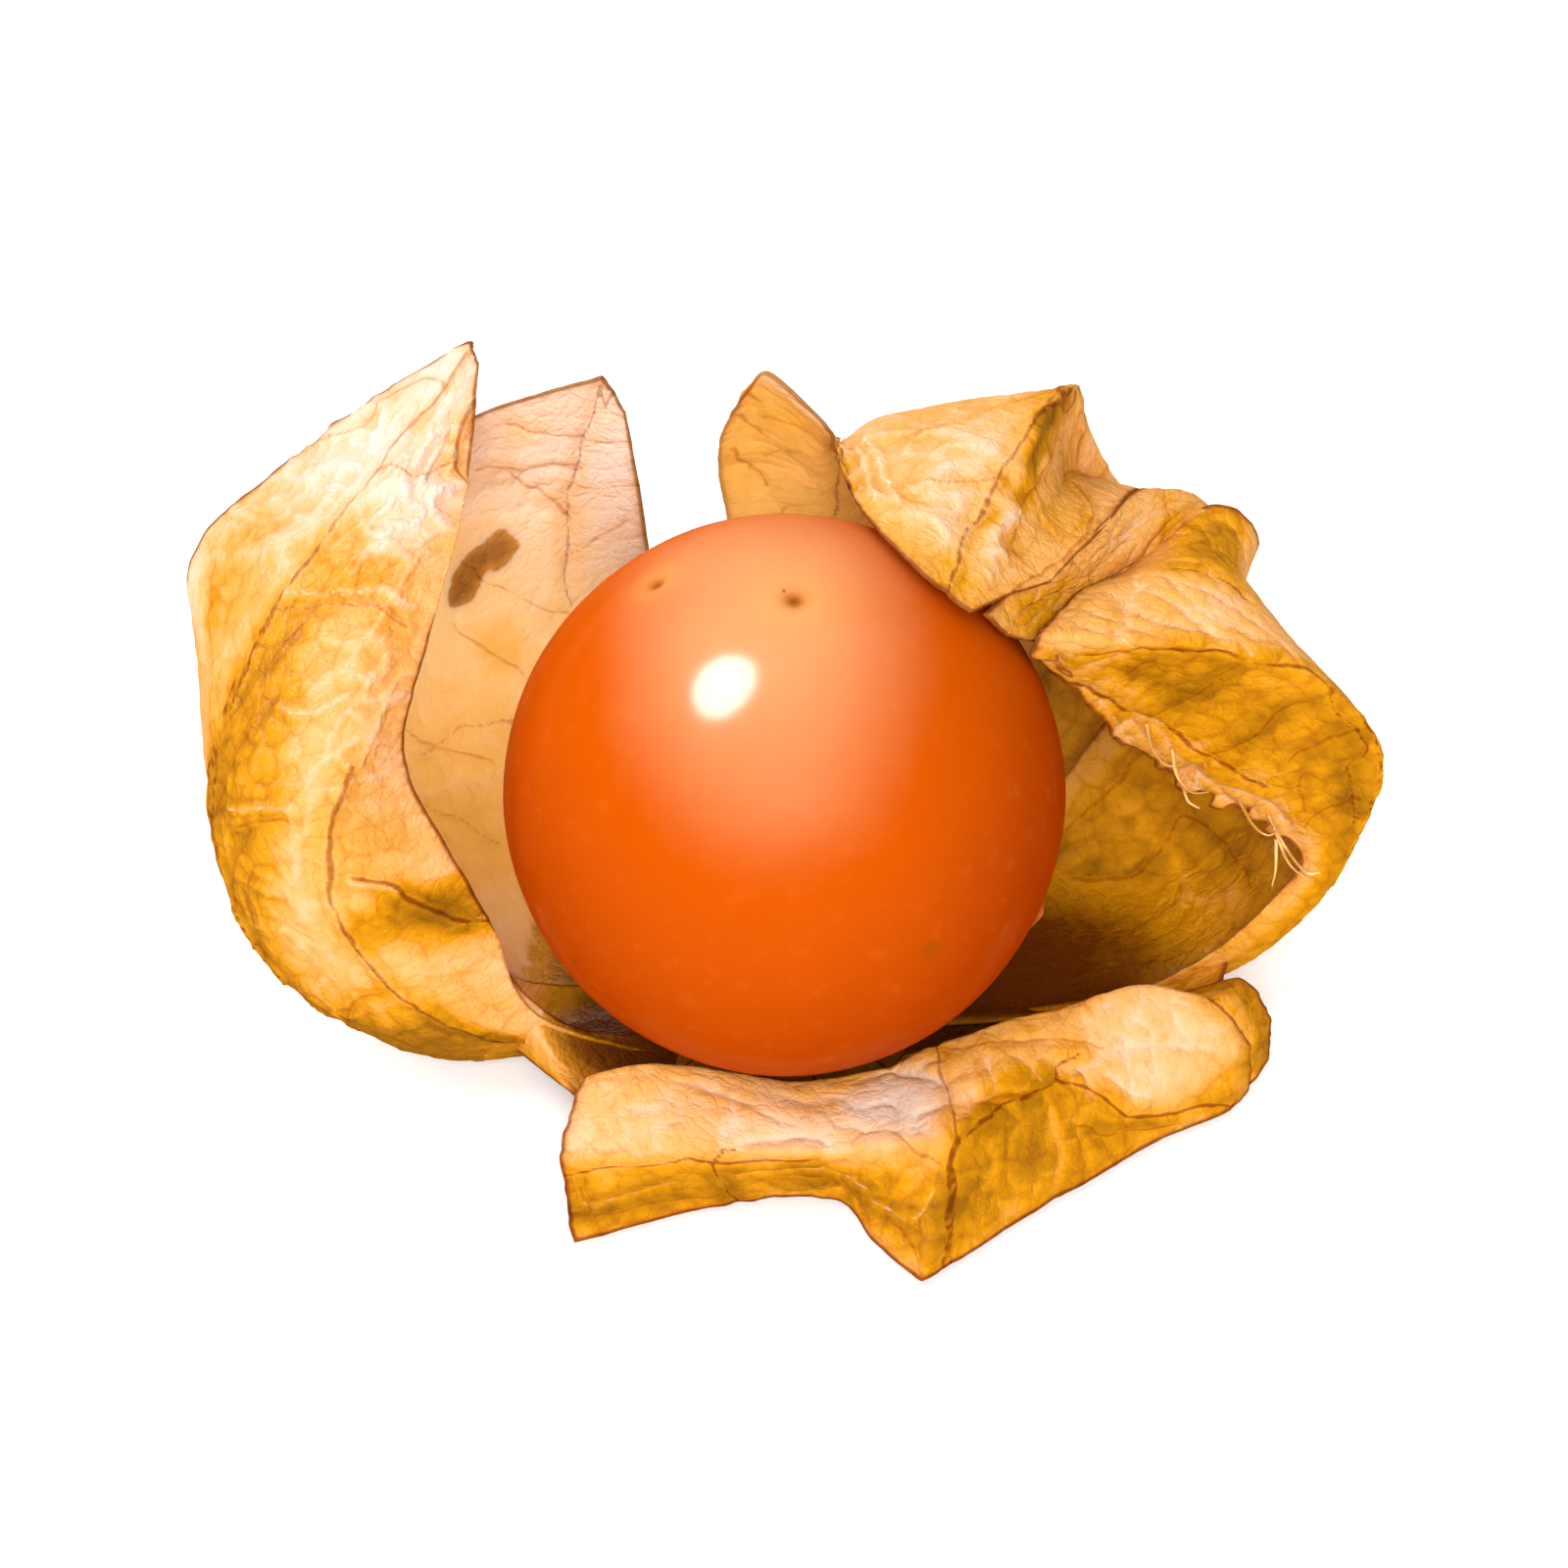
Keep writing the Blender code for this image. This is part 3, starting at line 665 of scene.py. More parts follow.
# %% The front lobe
LOBES["front"] = {
    "ribs": [
        [(-3.3, -3.3, 1.0), (-5.4, -4.5, 1.4), (-6.9, -6.0, 4.0), (-7.8, -8.5, 3.0),
         (-7.3, -10.1, 0.3)],
        [(-2.2, -4.1, 1.0), (-3.4, -5.0, 1.5), (-4.2, -5.6, 4.5), (-3.2, -8.5, 3.2), (-2.4, -8.4, 0.3)],
        [(-0.6, -4.6, 1.0), (-0.2, -5.2, 1.5), (0.3, -5.8, 3.9), (1.2, -8.5, 3.4), (1.8, -8.0, 0.3)],
        [(0.7, -4.6, 1.0), (2.2, -5.0, 1.6), (3.1, -5.6, 4.2), (3.7, -8.6, 3.8), (3.1, -9.9, 0.3)],
        [(1.8, -4.3, 1.0), (4.2, -4.4, 1.8), (5.4, -5.0, 4.8), (5.8, -8.3, 4.3), (4.6, -11.7, 0.3)],
        [(2.9, -3.6, 1.0), (6.4, -3.2, 1.8), (8.8, -3.7, 5.1), (9.4, -5.8, 4.0), (9.1, -8.1, 0.3)],
        [(3.6, -2.9, 1.0), (8.6, -2.2, 1.7), (12.2, -2.3, 4.8), (12.3, -4.9, 2.3), (12.9, -5.2, 0.3)],
        [(4.0, -2.3, 1.0), (9.8, -1.5, 1.7), (14.9, -2.0, 3.7), (15.5, -3.1, 1.9), (15.3, -3.9, 0.3)],
        [(4.2, -2.0, 1.0), (10.2, -1.0, 1.8), (15.7, -0.5, 3.3), (16.8, -0.9, 1.9), (16.8, -1.4, 0.3)],
    ],
    "rib_creases": [0.0, 0.2, 0.2, 0.5, 0.9, 0.6, 0.4, 0.8, 0.0],
    "ring_creases": [0.0, 0.0, 0.5, 0.6, 0.0],
    "outside": -1.0,
    "midribs": [
        [(0.1, 0.5), (0.53, 0.49), (0.77, 0.5), (1.0, 0.52)],
        [(0.77, 0.505), (0.86, 0.514), (1.0, 0.527)],
        [(0.81, 0.0), (0.79, 0.04), (0.795, 0.1), (0.775, 0.12), (0.8, 0.145), (0.8, 0.185), (0.8, 0.235)],
        [(0.758, 0.157), (0.806, 0.141), (0.913, 0.141), (1.0, 0.146)],
        [(0.778, 0.516), (0.768, 0.564), (0.754, 0.625), (0.71, 0.628), (0.667, 0.654)],
        [(0.754, 0.625), (0.783, 0.693), (0.844, 0.732), (0.869, 0.782), (0.92, 0.84), (0.988, 0.885)],
        [(0.42, 0.86), (0.547, 0.868), (0.64, 0.89), (0.717, 0.919), (0.85, 0.93), (1.0, 0.94)],
    ],
    "veins": [
        [(0.74, 0.3), (0.7, 0.336), (0.722, 0.379), (0.774, 0.418), (0.815, 0.49)],
        [(0.976, 0.322), (0.93, 0.395), (0.948, 0.458), (0.988, 0.5)],
        [(0.92, 0.0), (0.95, 0.08), (0.96, 0.14)], [(0.82, 0.02), (0.97, 0.03)],
        [(0.86, 0.66), (0.9, 0.7), (0.93, 0.78)],
    ] + side_veins(0.5, 0.2, 0.2, 0.6, 6, 11),
    "glint_creases": [
        [(0.909, 0.355), (0.911, 0.453), (0.855, 0.485)], [(0.55, 0.14), (0.58, 0.18), (0.62, 0.2)],
        [(0.86, 0.16), (0.85, 0.25), (0.88, 0.33)], [(0.9, 0.02), (0.88, 0.1)],
        [(0.62, 0.53), (0.72, 0.53)], [(0.6, 0.55), (0.7, 0.555)], [(0.64, 0.58), (0.72, 0.6)],
        [(0.7, 0.66), (0.74, 0.68)], [(0.72, 0.7), (0.76, 0.75)],
    ],
    "base_tone": 0.52,
    "tones": [
        (0.64, 0.2, 0.13, 0.26, -0.12), (0.63, 0.40, 0.13, 0.09, -0.44), (0.7, 0.25, 0.07, 0.1, -0.16),
        (0.9, 0.2, 0.095, 0.35, 0.34), (0.76, 0.57, 0.1, 0.06, 0.22), (0.92, 0.64, 0.12, 0.14, 0.24),
        (0.61, 0.75, 0.16, 0.11, -0.16), (0.85, 0.87, 0.12, 0.06, 0.24), (0.6, 0.97, 0.4, 0.04, 0.36),
        (0.2, 0.5, 0.25, 0.8, 0.25),
    ],
    "bruises_and_shade": [(0.5, 0.05, 0.05, 0.05, 0.3)],
    "crumples": [
        (0.62, 0.42, 0.13, 0.07, 1.5), (0.68, 0.22, 0.1, 0.2, 0.9), (0.68, 0.56, 0.1, 0.07, 1.6),
        (0.74, 0.66, 0.05, 0.1, 1.0), (0.9, 0.62, 0.1, 0.1, 0.9), (0.9, 0.3, 0.08, 0.15, 0.8),
        (0.6, 0.76, 0.1, 0.12, 0.7),
    ],
    "stretch": (0.8, 1.0),
    "thin": [(0.62, 0.42, 0.14, 0.09, 0.2)],
}

# %% [markdown]
# ## The shoulder web
#
# Three small webs join the lobes, and have no solid of their own in the frame.
# The shoulder and the strip are tissue that is still whole between two lobes;
# the third is a dark sheet that paints the berry's shadow. The shoulder joins the
# back right lobe and the right one, in pleats that follow both.

# %% The shoulder web
LOBES["shoulder"] = {
    "ribs": [
        [(3.3, 3.6, 1.2), (9.1, 9.2, 1.7), (13.3, 12.0, 6.5), (14.2, 12.3, 11.6), (12.5, 11.15, 15.5),
         (10.7, 7.0, 17.7), (8.7, 3.8, 18.3), (7.6, 2.6, 18.8), (6.5, 1.0, 19.2)],
        [(3.6, 3.1, 1.1), (8.7, 8.4, 1.4), (12.5, 11.3, 5.6), (14.5, 12.1, 11.2), (14.3, 11.5, 14.7),
         (12.7, 8.9, 16.3), (10.5, 5.7, 17.0), (8.6, 2.9, 17.5), (7.4, 1.2, 18.0)],
        [(3.9, 2.6, 1.1), (8.1, 7.2, 1.3), (11.2, 9.9, 4.8), (13.7, 10.8, 9.3), (16.0, 10.7, 12.9),
         (14.7, 10.5, 15.1), (12.5, 8.2, 14.9), (10.0, 4.4, 15.9), (8.7, 2.3, 16.6)],
    ],
    "outside": -1.0,
    "midribs": [[(0.58, 0.72), (0.66, 0.76), (0.72, 0.83), (0.77, 0.83), (0.86, 0.8)]],
    "veins": [[(0.7, 0.1), (0.8, 0.4), (0.86, 0.8)], [(0.5, 0.2), (0.6, 0.5), (0.7, 0.9)]],
    "glint_creases": [[(0.8, 0.1), (0.9, 0.4)], [(0.7, 0.3), (0.8, 0.6)], [(0.65, 0.2), (0.72, 0.5)]],
    "base_tone": 0.50,
    "tones": [(0.15, 0.5, 0.3, 0.8, 0.3), (0.9, 0.5, 0.1, 0.6, 0.15)],
    # painted shade of the berry at the foot of the web
    "bruises_and_shade": [(0.05, 0.5, 0.1, 0.8, 0.8)],
    "crumples": [(0.8, 0.5, 0.2, 0.5, 0.8)],
    "stretch": (1.0, 0.6),
}

# %% [markdown]
# ## The strip web
#
# A narrow strip runs along the foot of the left lobe, in front of the berry.
# Where the berry's shadow falls on it, it is painted dark brown.

# %% The strip web
LOBES["strip"] = {
    "ribs": [
        [(-3.0, -1.0, 0.9), (-6.6, -2.3, 2.6), (-8.6, -2.5, 4.4), (-10.2, -1.4, 5.6)],
        [(-2.9, -1.8, 0.7), (-6.0, -3.3, 1.8), (-8.0, -3.7, 3.0), (-10.0, -1.6, 3.4)],
        [(-2.8, -2.6, 0.6), (-5.4, -4.4, 1.2), (-7.4, -4.9, 2.4), (-9.8, -1.4, 1.4)],
    ],
    "outside": -1.0,
    "base_tone": 0.44,
    "tones": [(0.7, 0.9, 0.5, 0.4, 0.2)],
    # painted shadow of the berry where it falls on the strip
    "bruises_and_shade": [(0.12, 0.3, 0.5, 0.45, 2.0)],
    "stretch": (1.0, 0.5),
}

# %% [markdown]
# ## The shade web
#
# This web lies between the right lobe and the foot of the husk, under the berry.
# It is a dark sheet that paints the berry's shadow there, deep brown all over.

# %% The shade web
LOBES["seam"] = {
    "ribs": [
        [(3.4, 0.6, 0.7), (8.0, 0.6, 0.7), (12.5, 0.9, 1.3), (15.5, 1.2, 2.6)],
        [(3.2, -0.8, 0.7), (7.8, -0.6, 0.9), (11.5, -0.3, 1.3), (15.2, 0.2, 2.6)],
        [(3.0, -2.2, 0.7), (7.4, -2.2, 1.2), (10.6, -1.6, 1.6), (14.9, -1.0, 2.9)],
    ],
    "outside": 1.0,
    "base_tone": 0.7,
    # painted shadow: the whole web is dark as the berry's shade
    "bruises_and_shade": [(0.1, 0.5, 0.35, 1.0, 2.0)],
    "stretch": (1.0, 0.5),
}

# %% [markdown]
# ## From ribs to fine lobes
#
# The ribs give the sweep of a lobe. Everything finer is a height that is added
# along the sheet's normal: raised veins with a hollow beside them, tissue that
# bulges between them, crumples and creases, and a slow waviness over it all.
# A subdivision surface with a displacement texture could do this too, but here
# the same numbers shape the mesh and drive its colours, so that each dark vein
# lies exactly on its ridge. Light and shade are painted on this relief too:
# crests are painted paler than the hollows beside them.

# %% Grids with torn edges
GRAIN = 0.14             # millimetres between the points of a fine grid
ROUGH_STEPS = 60
TIP_BITE = 0.004
TIP_SHARPNESS = 6
BITES_ALONG = 24.0       # places on an edge are stretched to this length for the noise
NIBBLES = [(0.3, 1.7), (0.2, 0.6)]      # depth and size, coarse and fine


def bump_of(distance, width):
    """A smooth ridge profile from 1 on the line to 0 away from it."""
    return np.exp(-((distance / width) ** 2))


def nibble(places, seed):
    """Uneven bites from 0 to 1 for places from 0 to 1 along an edge."""
    spread = np.stack([places * BITES_ALONG, places * 0.0, places * 0.0 + seed], -1)
    layers = enumerate(NIBBLES)
    return 0.5 + sum(depth * smooth_noise(spread, size, seed + layer) for layer, (depth, size) in layers)


def fine_places(facts, seed):
    """Numbers along and across for the points of a fine grid with uneven free edges."""
    rough = whole_grid(facts, ROUGH_STEPS, ROUGH_STEPS)
    rows = int(running_length(rough, 0).max() / GRAIN)
    columns = int(running_length(rough, 1).max() / GRAIN)
    down, over = even_numbers(rows, columns)
    first_bite, last_bite = facts["bites"]
    first = first_bite * nibble(down, seed)
    left_over = sum(bump_of(down - middle, reach) for middle, reach in facts["torn_points"])
    last = 1.0 - last_bite * np.clip(nibble(down, seed + 2) - left_over, 0.0, 1.0)
    along = down * (1.0 - TIP_BITE * nibble(over, seed + 4) * down**TIP_SHARPNESS)
    return along, first + (last - first) * over


# %% Spots, edges and hollows
def spots_on(spots, along, across):
    """The sum of a table's soft-edged spots."""
    total = np.zeros_like(along)
    for middle_along, middle_across, reach_along, reach_across, amount in spots:
        ahead = (along - middle_along) / reach_along
        beside = (across - middle_across) / reach_across
        total += amount * np.exp(-((ahead**2 + beside**2) ** 2))
    return total


def distance_to_edge(grid):
    """Distance in millimetres from every place of a grid to the nearest free edge."""
    over = running_length(grid, 1)
    down = running_length(grid, 0)
    return np.minimum(np.minimum(over, over[:, -1:] - over), down[-1:] - down)


def softened(values, reach):
    """Numbers of a grid, blurred over some steps of the grid."""
    steps = np.arange(-2 * reach, 2 * reach + 1)
    kernel = bump_of(steps, reach)
    kernel /= kernel.sum()
    values = np.pad(values, steps[-1], mode="edge")
    for axis in (0, 1):
        values = np.apply_along_axis(np.convolve, axis, values, kernel, mode="valid")
    return values


# %% [markdown]
# ## Heights and marks
#
# The lines of a lobe wander a little, as real veins do, so the flat chart is
# bent by noise before distances are measured in it. A rib is a ridge with a
# wide hollow round it, and a crease is a crest with a furrow beside it. The
# paper is puffed up between the walls of its cells, but less where it is
# bleached. Towards the foot all of this fades out, where the lobes run together.

# %% Heights of a sheet
RELIEF = [
    # line, height, reach and how far beside the line, all in millimetres
    ("rib", 0.11, 0.24, 0.0),
    ("rib", -0.06, 0.7, 0.0),
    ("vein", 0.06, 0.18, 0.0),
    ("vein", -0.03, 0.45, 0.0),
    ("crease", 0.06, 0.15, 0.0),
    ("crease", -0.04, 0.18, 0.3),
]
PUFF_HEIGHT = 0.045
PUFF_REACH = 0.2
PUFF_TONES = (0.25, 0.7)             # between these tones the puffing grows
PUFF_SHARES = (0.1, 1.0)
CRUMPLE_HEIGHT = 0.24
CRUMPLE_LEAST = 0.14
CRUMPLE_MOST = 1.5
CRUMPLE_FOLDS = [(1.0, 1.7), (0.6, 0.8)]     # share and size, coarse and fine
WAVES = (0.16, 4.5)                  # height and size


def line_relief(lines):
    """Ridges on the lines of a sheet, and hollows beside them."""
    return sum(height * bump_of(lines[line] - beside, reach) for line, height, reach, beside in RELIEF)


def puffed_relief(tone, wall):
    """Paper that bulges between the walls of its cells."""
    return PUFF_HEIGHT * np.interp(tone, PUFF_TONES, PUFF_SHARES) * (1.0 - np.exp(-wall / PUFF_REACH))


def crumple_relief(amount, wrinkled, seed):
    """Crumple folds, as strong as the amount says."""
    amount = np.clip(CRUMPLE_LEAST + amount, 0.0, CRUMPLE_MOST)
    layers = enumerate(CRUMPLE_FOLDS)
    folded = sum(share * folds(wrinkled, size, seed + layer) for layer, (share, size) in layers)
    return CRUMPLE_HEIGHT * amount * folded


# %% Marks of one lobe
LINES = {"rib": "midribs", "vein": "veins", "crease": "glint_creases"}
CELL_SIZE = 1.05
WOBBLE = (0.22, 1.6)                 # height and size of the lines' wandering
SPOT_SHIFT = (0.015, 1.2)            # the spots' outlines wander too, in shares of the lobe
SHIFT_ACROSS = 1.5
PROUD = 0.06                         # a crest this high is painted fully pale, a hollow this deep fully dark
CREST_STEPS = 4
FOOT_FADE = 0.1
BURIED_ALONG = (0.14, 0.34)          # near the foot an edge counts as far away, so it has no rim
BURIED_EDGE = (0.8, 0.0)
LEAST_THIN = 0.16
CELL_TONES = 0.04
TONE_DRIFT = (0.05, 2.6)
TONE_BESIDE = [("rib", 0.14, 0.45), ("vein", 0.10, 0.35)]    # line, amount, reach

# each noise has a seed of its own, counted from its lobe's
WOBBLE_SEEDS = (10, 20)
SHIFT_SEED = 30
CRUMPLE_SEED = 40
WAVE_SEED = 50
TONE_SEED = 60


def drifting(places, drift, seed, layers=3):
    """Layered noise of a given (height, size)."""
    height, size = drift
    return height * layered_noise(places, size, seed, layers)


def shape_lobe(facts, seed):
    """The fine grid of a lobe, its flat chart and the marks for its finish."""
    along, across = fine_places(facts, seed)
    grid = on_sheet(facts, along, across)
    chart = ironed(whole_grid(facts, CHART_ROWS, CHART_COLUMNS))
    flat = on_chart(chart, along, across)
    spread = np.concatenate([flat, np.full_like(flat[..., :1], seed)], -1)
    bent = flat + np.stack([drifting(spread, WOBBLE, seed + step) for step in WOBBLE_SEEDS], -1)
    lines = {line: distance_to(bent, chart, facts[routes]) for line, routes in LINES.items()}
    wall, number = cells(bent, CELL_SIZE, seed)
    shift = drifting(spread, SPOT_SHIFT, seed + SHIFT_SEED)
    here = (along + shift, across + SHIFT_ACROSS * shift)
    tone = facts["base_tone"] + spots_on(facts["tones"], *here)
    wrinkled = np.concatenate([bent * facts["stretch"], spread[..., 2:]], -1)
    height = (
        line_relief(lines)
        + puffed_relief(tone, wall)
        + crumple_relief(spots_on(facts["crumples"], *here), wrinkled, seed + CRUMPLE_SEED)
        + drifting(spread, WAVES, seed + WAVE_SEED, layers=2)
    )
    edge = distance_to_edge(grid) + np.interp(along, BURIED_ALONG, BURIED_EDGE)
    fade = np.clip(along / FOOT_FADE, 0.0, 1.0)[..., None]
    grid = grid + grid_normals(grid) * facts["outside"] * fade * height[..., None]
    tone += CELL_TONES * number + drifting(spread, TONE_DRIFT, seed + TONE_SEED)
    tone += sum(amount * bump_of(lines[line], reach) for line, amount, reach in TONE_BESIDE)
    marks = {
        **lines,
        "wall": wall,
        "edge": edge + spots_on(facts["fused"], along, across),
        # painted light and shade on the relief: its height less a softened copy, paler on crests and darker
        # in hollows
        "crest": np.clip((height - softened(height, CREST_STEPS)) / PROUD, -1.0, 1.0),
        "tone": tone,
        "bruise": spots_on(facts["bruises_and_shade"], *here),
        "thin": LEAST_THIN + spots_on(facts["thin"], along, across),
    }
    return grid, flat, marks


# %% Keep clear of the berry and the ground
PAPER = 0.12             # thickness of the husk, in millimetres


def kept_clear(grid):
    """The grid, pushed out of the berry and up off the ground where it would touch them."""
    away = grid - berry_middle
    distance = np.linalg.norm(away, axis=-1, keepdims=True)
    room = berry_radius + PAPER
    grid = np.where(distance < room, berry_middle + away / distance * room, grid)
    grid[..., 2] = np.maximum(grid[..., 2], PAPER / 2.0)
    return grid


# %% [markdown]
# ## Shader maths
#
# A material's maths is easier to read as sums and products than as a web of
# nodes. `Value` wraps one output socket, and its operators add the Math nodes.
# `Finish.node` adds every other kind of node: its settings come first, and then
# the values or the links of its sockets.

# %% Values and finishes
class Value:
    """One output of a material's nodes. Operators on it add Math nodes."""

    def __init__(self, finish, socket):
        self.finish = finish
        self.socket = socket

    def maths(self, operation, first, second):
        return self.finish.node("ShaderNodeMath", {"operation": operation}, {0: first, 1: second})

    def __add__(self, other):
        return self.maths("ADD", self, other)

    def __sub__(self, other):
        return self.maths("SUBTRACT", self, other)

    def __mul__(self, other):
        return self.maths("MULTIPLY", self, other)

    def __rsub__(self, other):
        return self.maths("SUBTRACT", other, self)

    __radd__ = __add__
    __rmul__ = __mul__


class Finish:
    """A material, put together node by node."""

    def __init__(self, name):
        self.material = bpy.data.materials.new(name)
        self.material.use_nodes = True
        self.tree = self.material.node_tree
        self.tree.nodes.clear()

    def node(self, kind, settings=(), inputs=(), output=0):
        """Add a node with its settings, then its sockets' values or links."""
        node = self.tree.nodes.new(kind)
        for name, setting in dict(settings).items():
            if name == "stops":
                self.set_stops(node.color_ramp, setting)
            else:
                setattr(node, name, setting)
        for name, given in dict(inputs).items():
            if isinstance(given, Value):
                self.tree.links.new(given.socket, node.inputs[name])
            else:
                node.inputs[name].default_value = given
        return Value(self, node.outputs[output])

    def set_stops(self, ramp, stops):
        """Give a colour ramp its stops, as (position, colour)."""
        while len(ramp.elements) < len(stops):
            ramp.elements.new(1.0)
        for element, (position, color) in zip(ramp.elements, stops):
            element.position = position
            element.color = (*color, 1.0)

    def mark(self, name):
        """A number that is stored on the mesh."""
        return self.node("ShaderNodeAttribute", {"attribute_name": name}, output="Fac")

    def noise(self, places, scale, detail=3.0, output="Fac"):
        """The built-in noise, at a scale in waves per unit."""
        waves = {"Vector": places, "Scale": scale, "Detail": detail}
        return self.node("ShaderNodeTexNoise", {}, waves, output)

    def moved(self, operation, places, other):
        """Places scaled or shifted by other places or numbers."""
        return self.node("ShaderNodeVectorMath", {"operation": operation}, {0: places, 1: other})

    def eased(self, value, start, end):
        """A smooth rise from 0 at start to 1 at end, or a fall, if end is lower."""
        low, high = (0.0, 1.0) if start < end else (1.0, 0.0)
        limits = {
            "Value": value,
            "From Min": min(start, end),
            "From Max": max(start, end),
            "To Min": low,
            "To Max": high,
        }
        return self.node("ShaderNodeMapRange", {"interpolation_type": "SMOOTHSTEP"}, limits)

    def blend(self, share, below, above, blend_type="MIX"):
        """One colour laid over another."""
        settings = {"data_type": "RGBA", "blend_type": blend_type, "clamp_factor": True}
        colors = {
            slot: color if isinstance(color, Value) else (*color, 1.0)
            for slot, color in ((6, below), (7, above))
        }
        return self.node("ShaderNodeMix", settings, {0: share, **colors}, output=2)

    def bump(self, relief, strength, distance):
        """The normal of a surface with a fine relief in it."""
        fine = {"Height": relief, "Strength": strength, "Distance": distance}
        return self.node("ShaderNodeBump", {}, fine)

    def places(self):
        """Places in metres, as they are on the piece itself."""
        return self.node("ShaderNodeTexCoord", output="Object")

    def principled(self, inputs):
        """An everyday surface, from its sockets' values or links."""
        return self.node("ShaderNodeBsdfPrincipled", {}, inputs)

    def close(self, surface):
        """Send the shader to the material's output."""
        end = self.tree.nodes.new("ShaderNodeOutputMaterial")
        self.tree.links.new(surface.socket, end.inputs["Surface"])
        return self.material


# %% [markdown]
# ## The husk's paper
#
# Dried calyx tissue runs from a bleached, pinkish white through peach and amber
# to an ochre brown. One ramp holds these colours, and the stored tone plus some
# cloudy noise picks from it. The veins are darker and crisp, and the net between
# them is faint. Light and shade are painted in as well: creases carry painted
# glints, crests of the relief are painted paler and its hollows darker, and near
# the foot the berry's shadow is painted nearly black. Bruises are brown. The
# sheet is thin enough for light to come through, so a stored share of it is a
# translucent shader.

# %% Colours of dried calyx
BLEACHED = (0.88, 0.71, 0.61)
PEACH = (0.91, 0.58, 0.36)
HONEY = (0.88, 0.43, 0.12)
AMBER = (0.74, 0.31, 0.004)
OCHRE = (0.50, 0.20, 0.001)
UMBER = (0.32, 0.125, 0.001)
# the brown serves real bruises and painted shade; the nearly black brown after it is the berry's painted
# shadow
BRUISE_AND_SHADE_BROWN = (0.50, 0.20, 0.002)
PAINTED_SHADOW = (0.10, 0.018, 0.001)
FINE_VEIN = (0.66, 0.44, 0.20)
SIDE_VEIN = (0.62, 0.34, 0.08)
MIDRIB = (0.36, 0.18, 0.03)
LACE_TINT = (0.80, 0.62, 0.40)
LIGHT_THROUGH = (0.98, 0.77, 0.36, 1.0)
PAPER_STOPS = [
    (0.0, BLEACHED), (0.25, PEACH), (0.48, HONEY), (0.72, AMBER), (0.88, OCHRE), (1.0, UMBER),
]

# %% Patterns of dried calyx
DRIFT_SCALE = 9.0        # waves or cells per centimetre
CLOUD_SCALE = 3.0
MOTTLE_SCALE = 24.0
GRAIN_SCALE = 90.0
NET_SCALE = 17.0
LACE_SCALE = 42.0
DRIFT = (0.08, 0.08, 0.08)
TONE_NOISE = 0.14
LINE_NOISE = 0.10
BRUISE_AND_SHADE_NOISE = (0.5, 0.3)        # of the mottle and of the clouds
# how strongly light and shade are painted on the relief
PAINTED_RELIEF_LIGHT = 0.10

# where each line starts and where it is full, in millimetres or in cells
RIB_LINE = (0.11, 0.03)
VEIN_LINE = (0.10, 0.02)
GLINT_LINE = (0.075, 0.0)
WALL_LINE = (0.12, 0.0)
WORN_LINE = (0.5, 0.1)
RIM_LINE = (0.20, 0.07)
NET_LINE = (0.08, 0.0)
LACE_LINE = (0.10, 0.0)
RELIEF_LINE = (0.0, 0.3)

# where the bruises and the painted shadow, and each patch in the clouds and the mottle, start and are full
BRUISED_AND_SHADED = (0.3, 0.6)
SHADOWED = (0.5, 2.1)
LINED_TONES = (0.2, 0.75)
LINED_CLOUDS = (0.3, 0.7)
GLINT_PATCHES = (0.35, 0.6)
VEIN_PATCHES = (0.2, 0.6)
WORN_PATCHES = (0.3, 0.6)

# how much of each layer shows
NET_SHARES = (0.30, 0.10)        # in darker tones, and in the clouds
LACE_SHARE = 0.5
BRUISE_AND_SHADE_SHARE = 0.92
SHADOW_SHARE = 0.95
GLINT_SHARE = 0.6
VEIN_SHARES = (0.35, 0.5)        # everywhere, and in the mottle's patches
RIB_SHARES = (0.65, 0.8)         # everywhere, and where the net is strong
WORN_SHARE = 0.5
RIM_SHARE = 0.9
RIB_SHADE = 0.6                  # ribs and veins let less light through
VEIN_SHADE = 0.4


# %% The paper
def paper_web(paper, places, scale):
    """Distance to the nearest wall of a web of cells."""
    web = {"voronoi_dimensions": "2D", "feature": "DISTANCE_TO_EDGE"}
    return paper.node("ShaderNodeTexVoronoi", web, {"Vector": places, "Scale": scale})


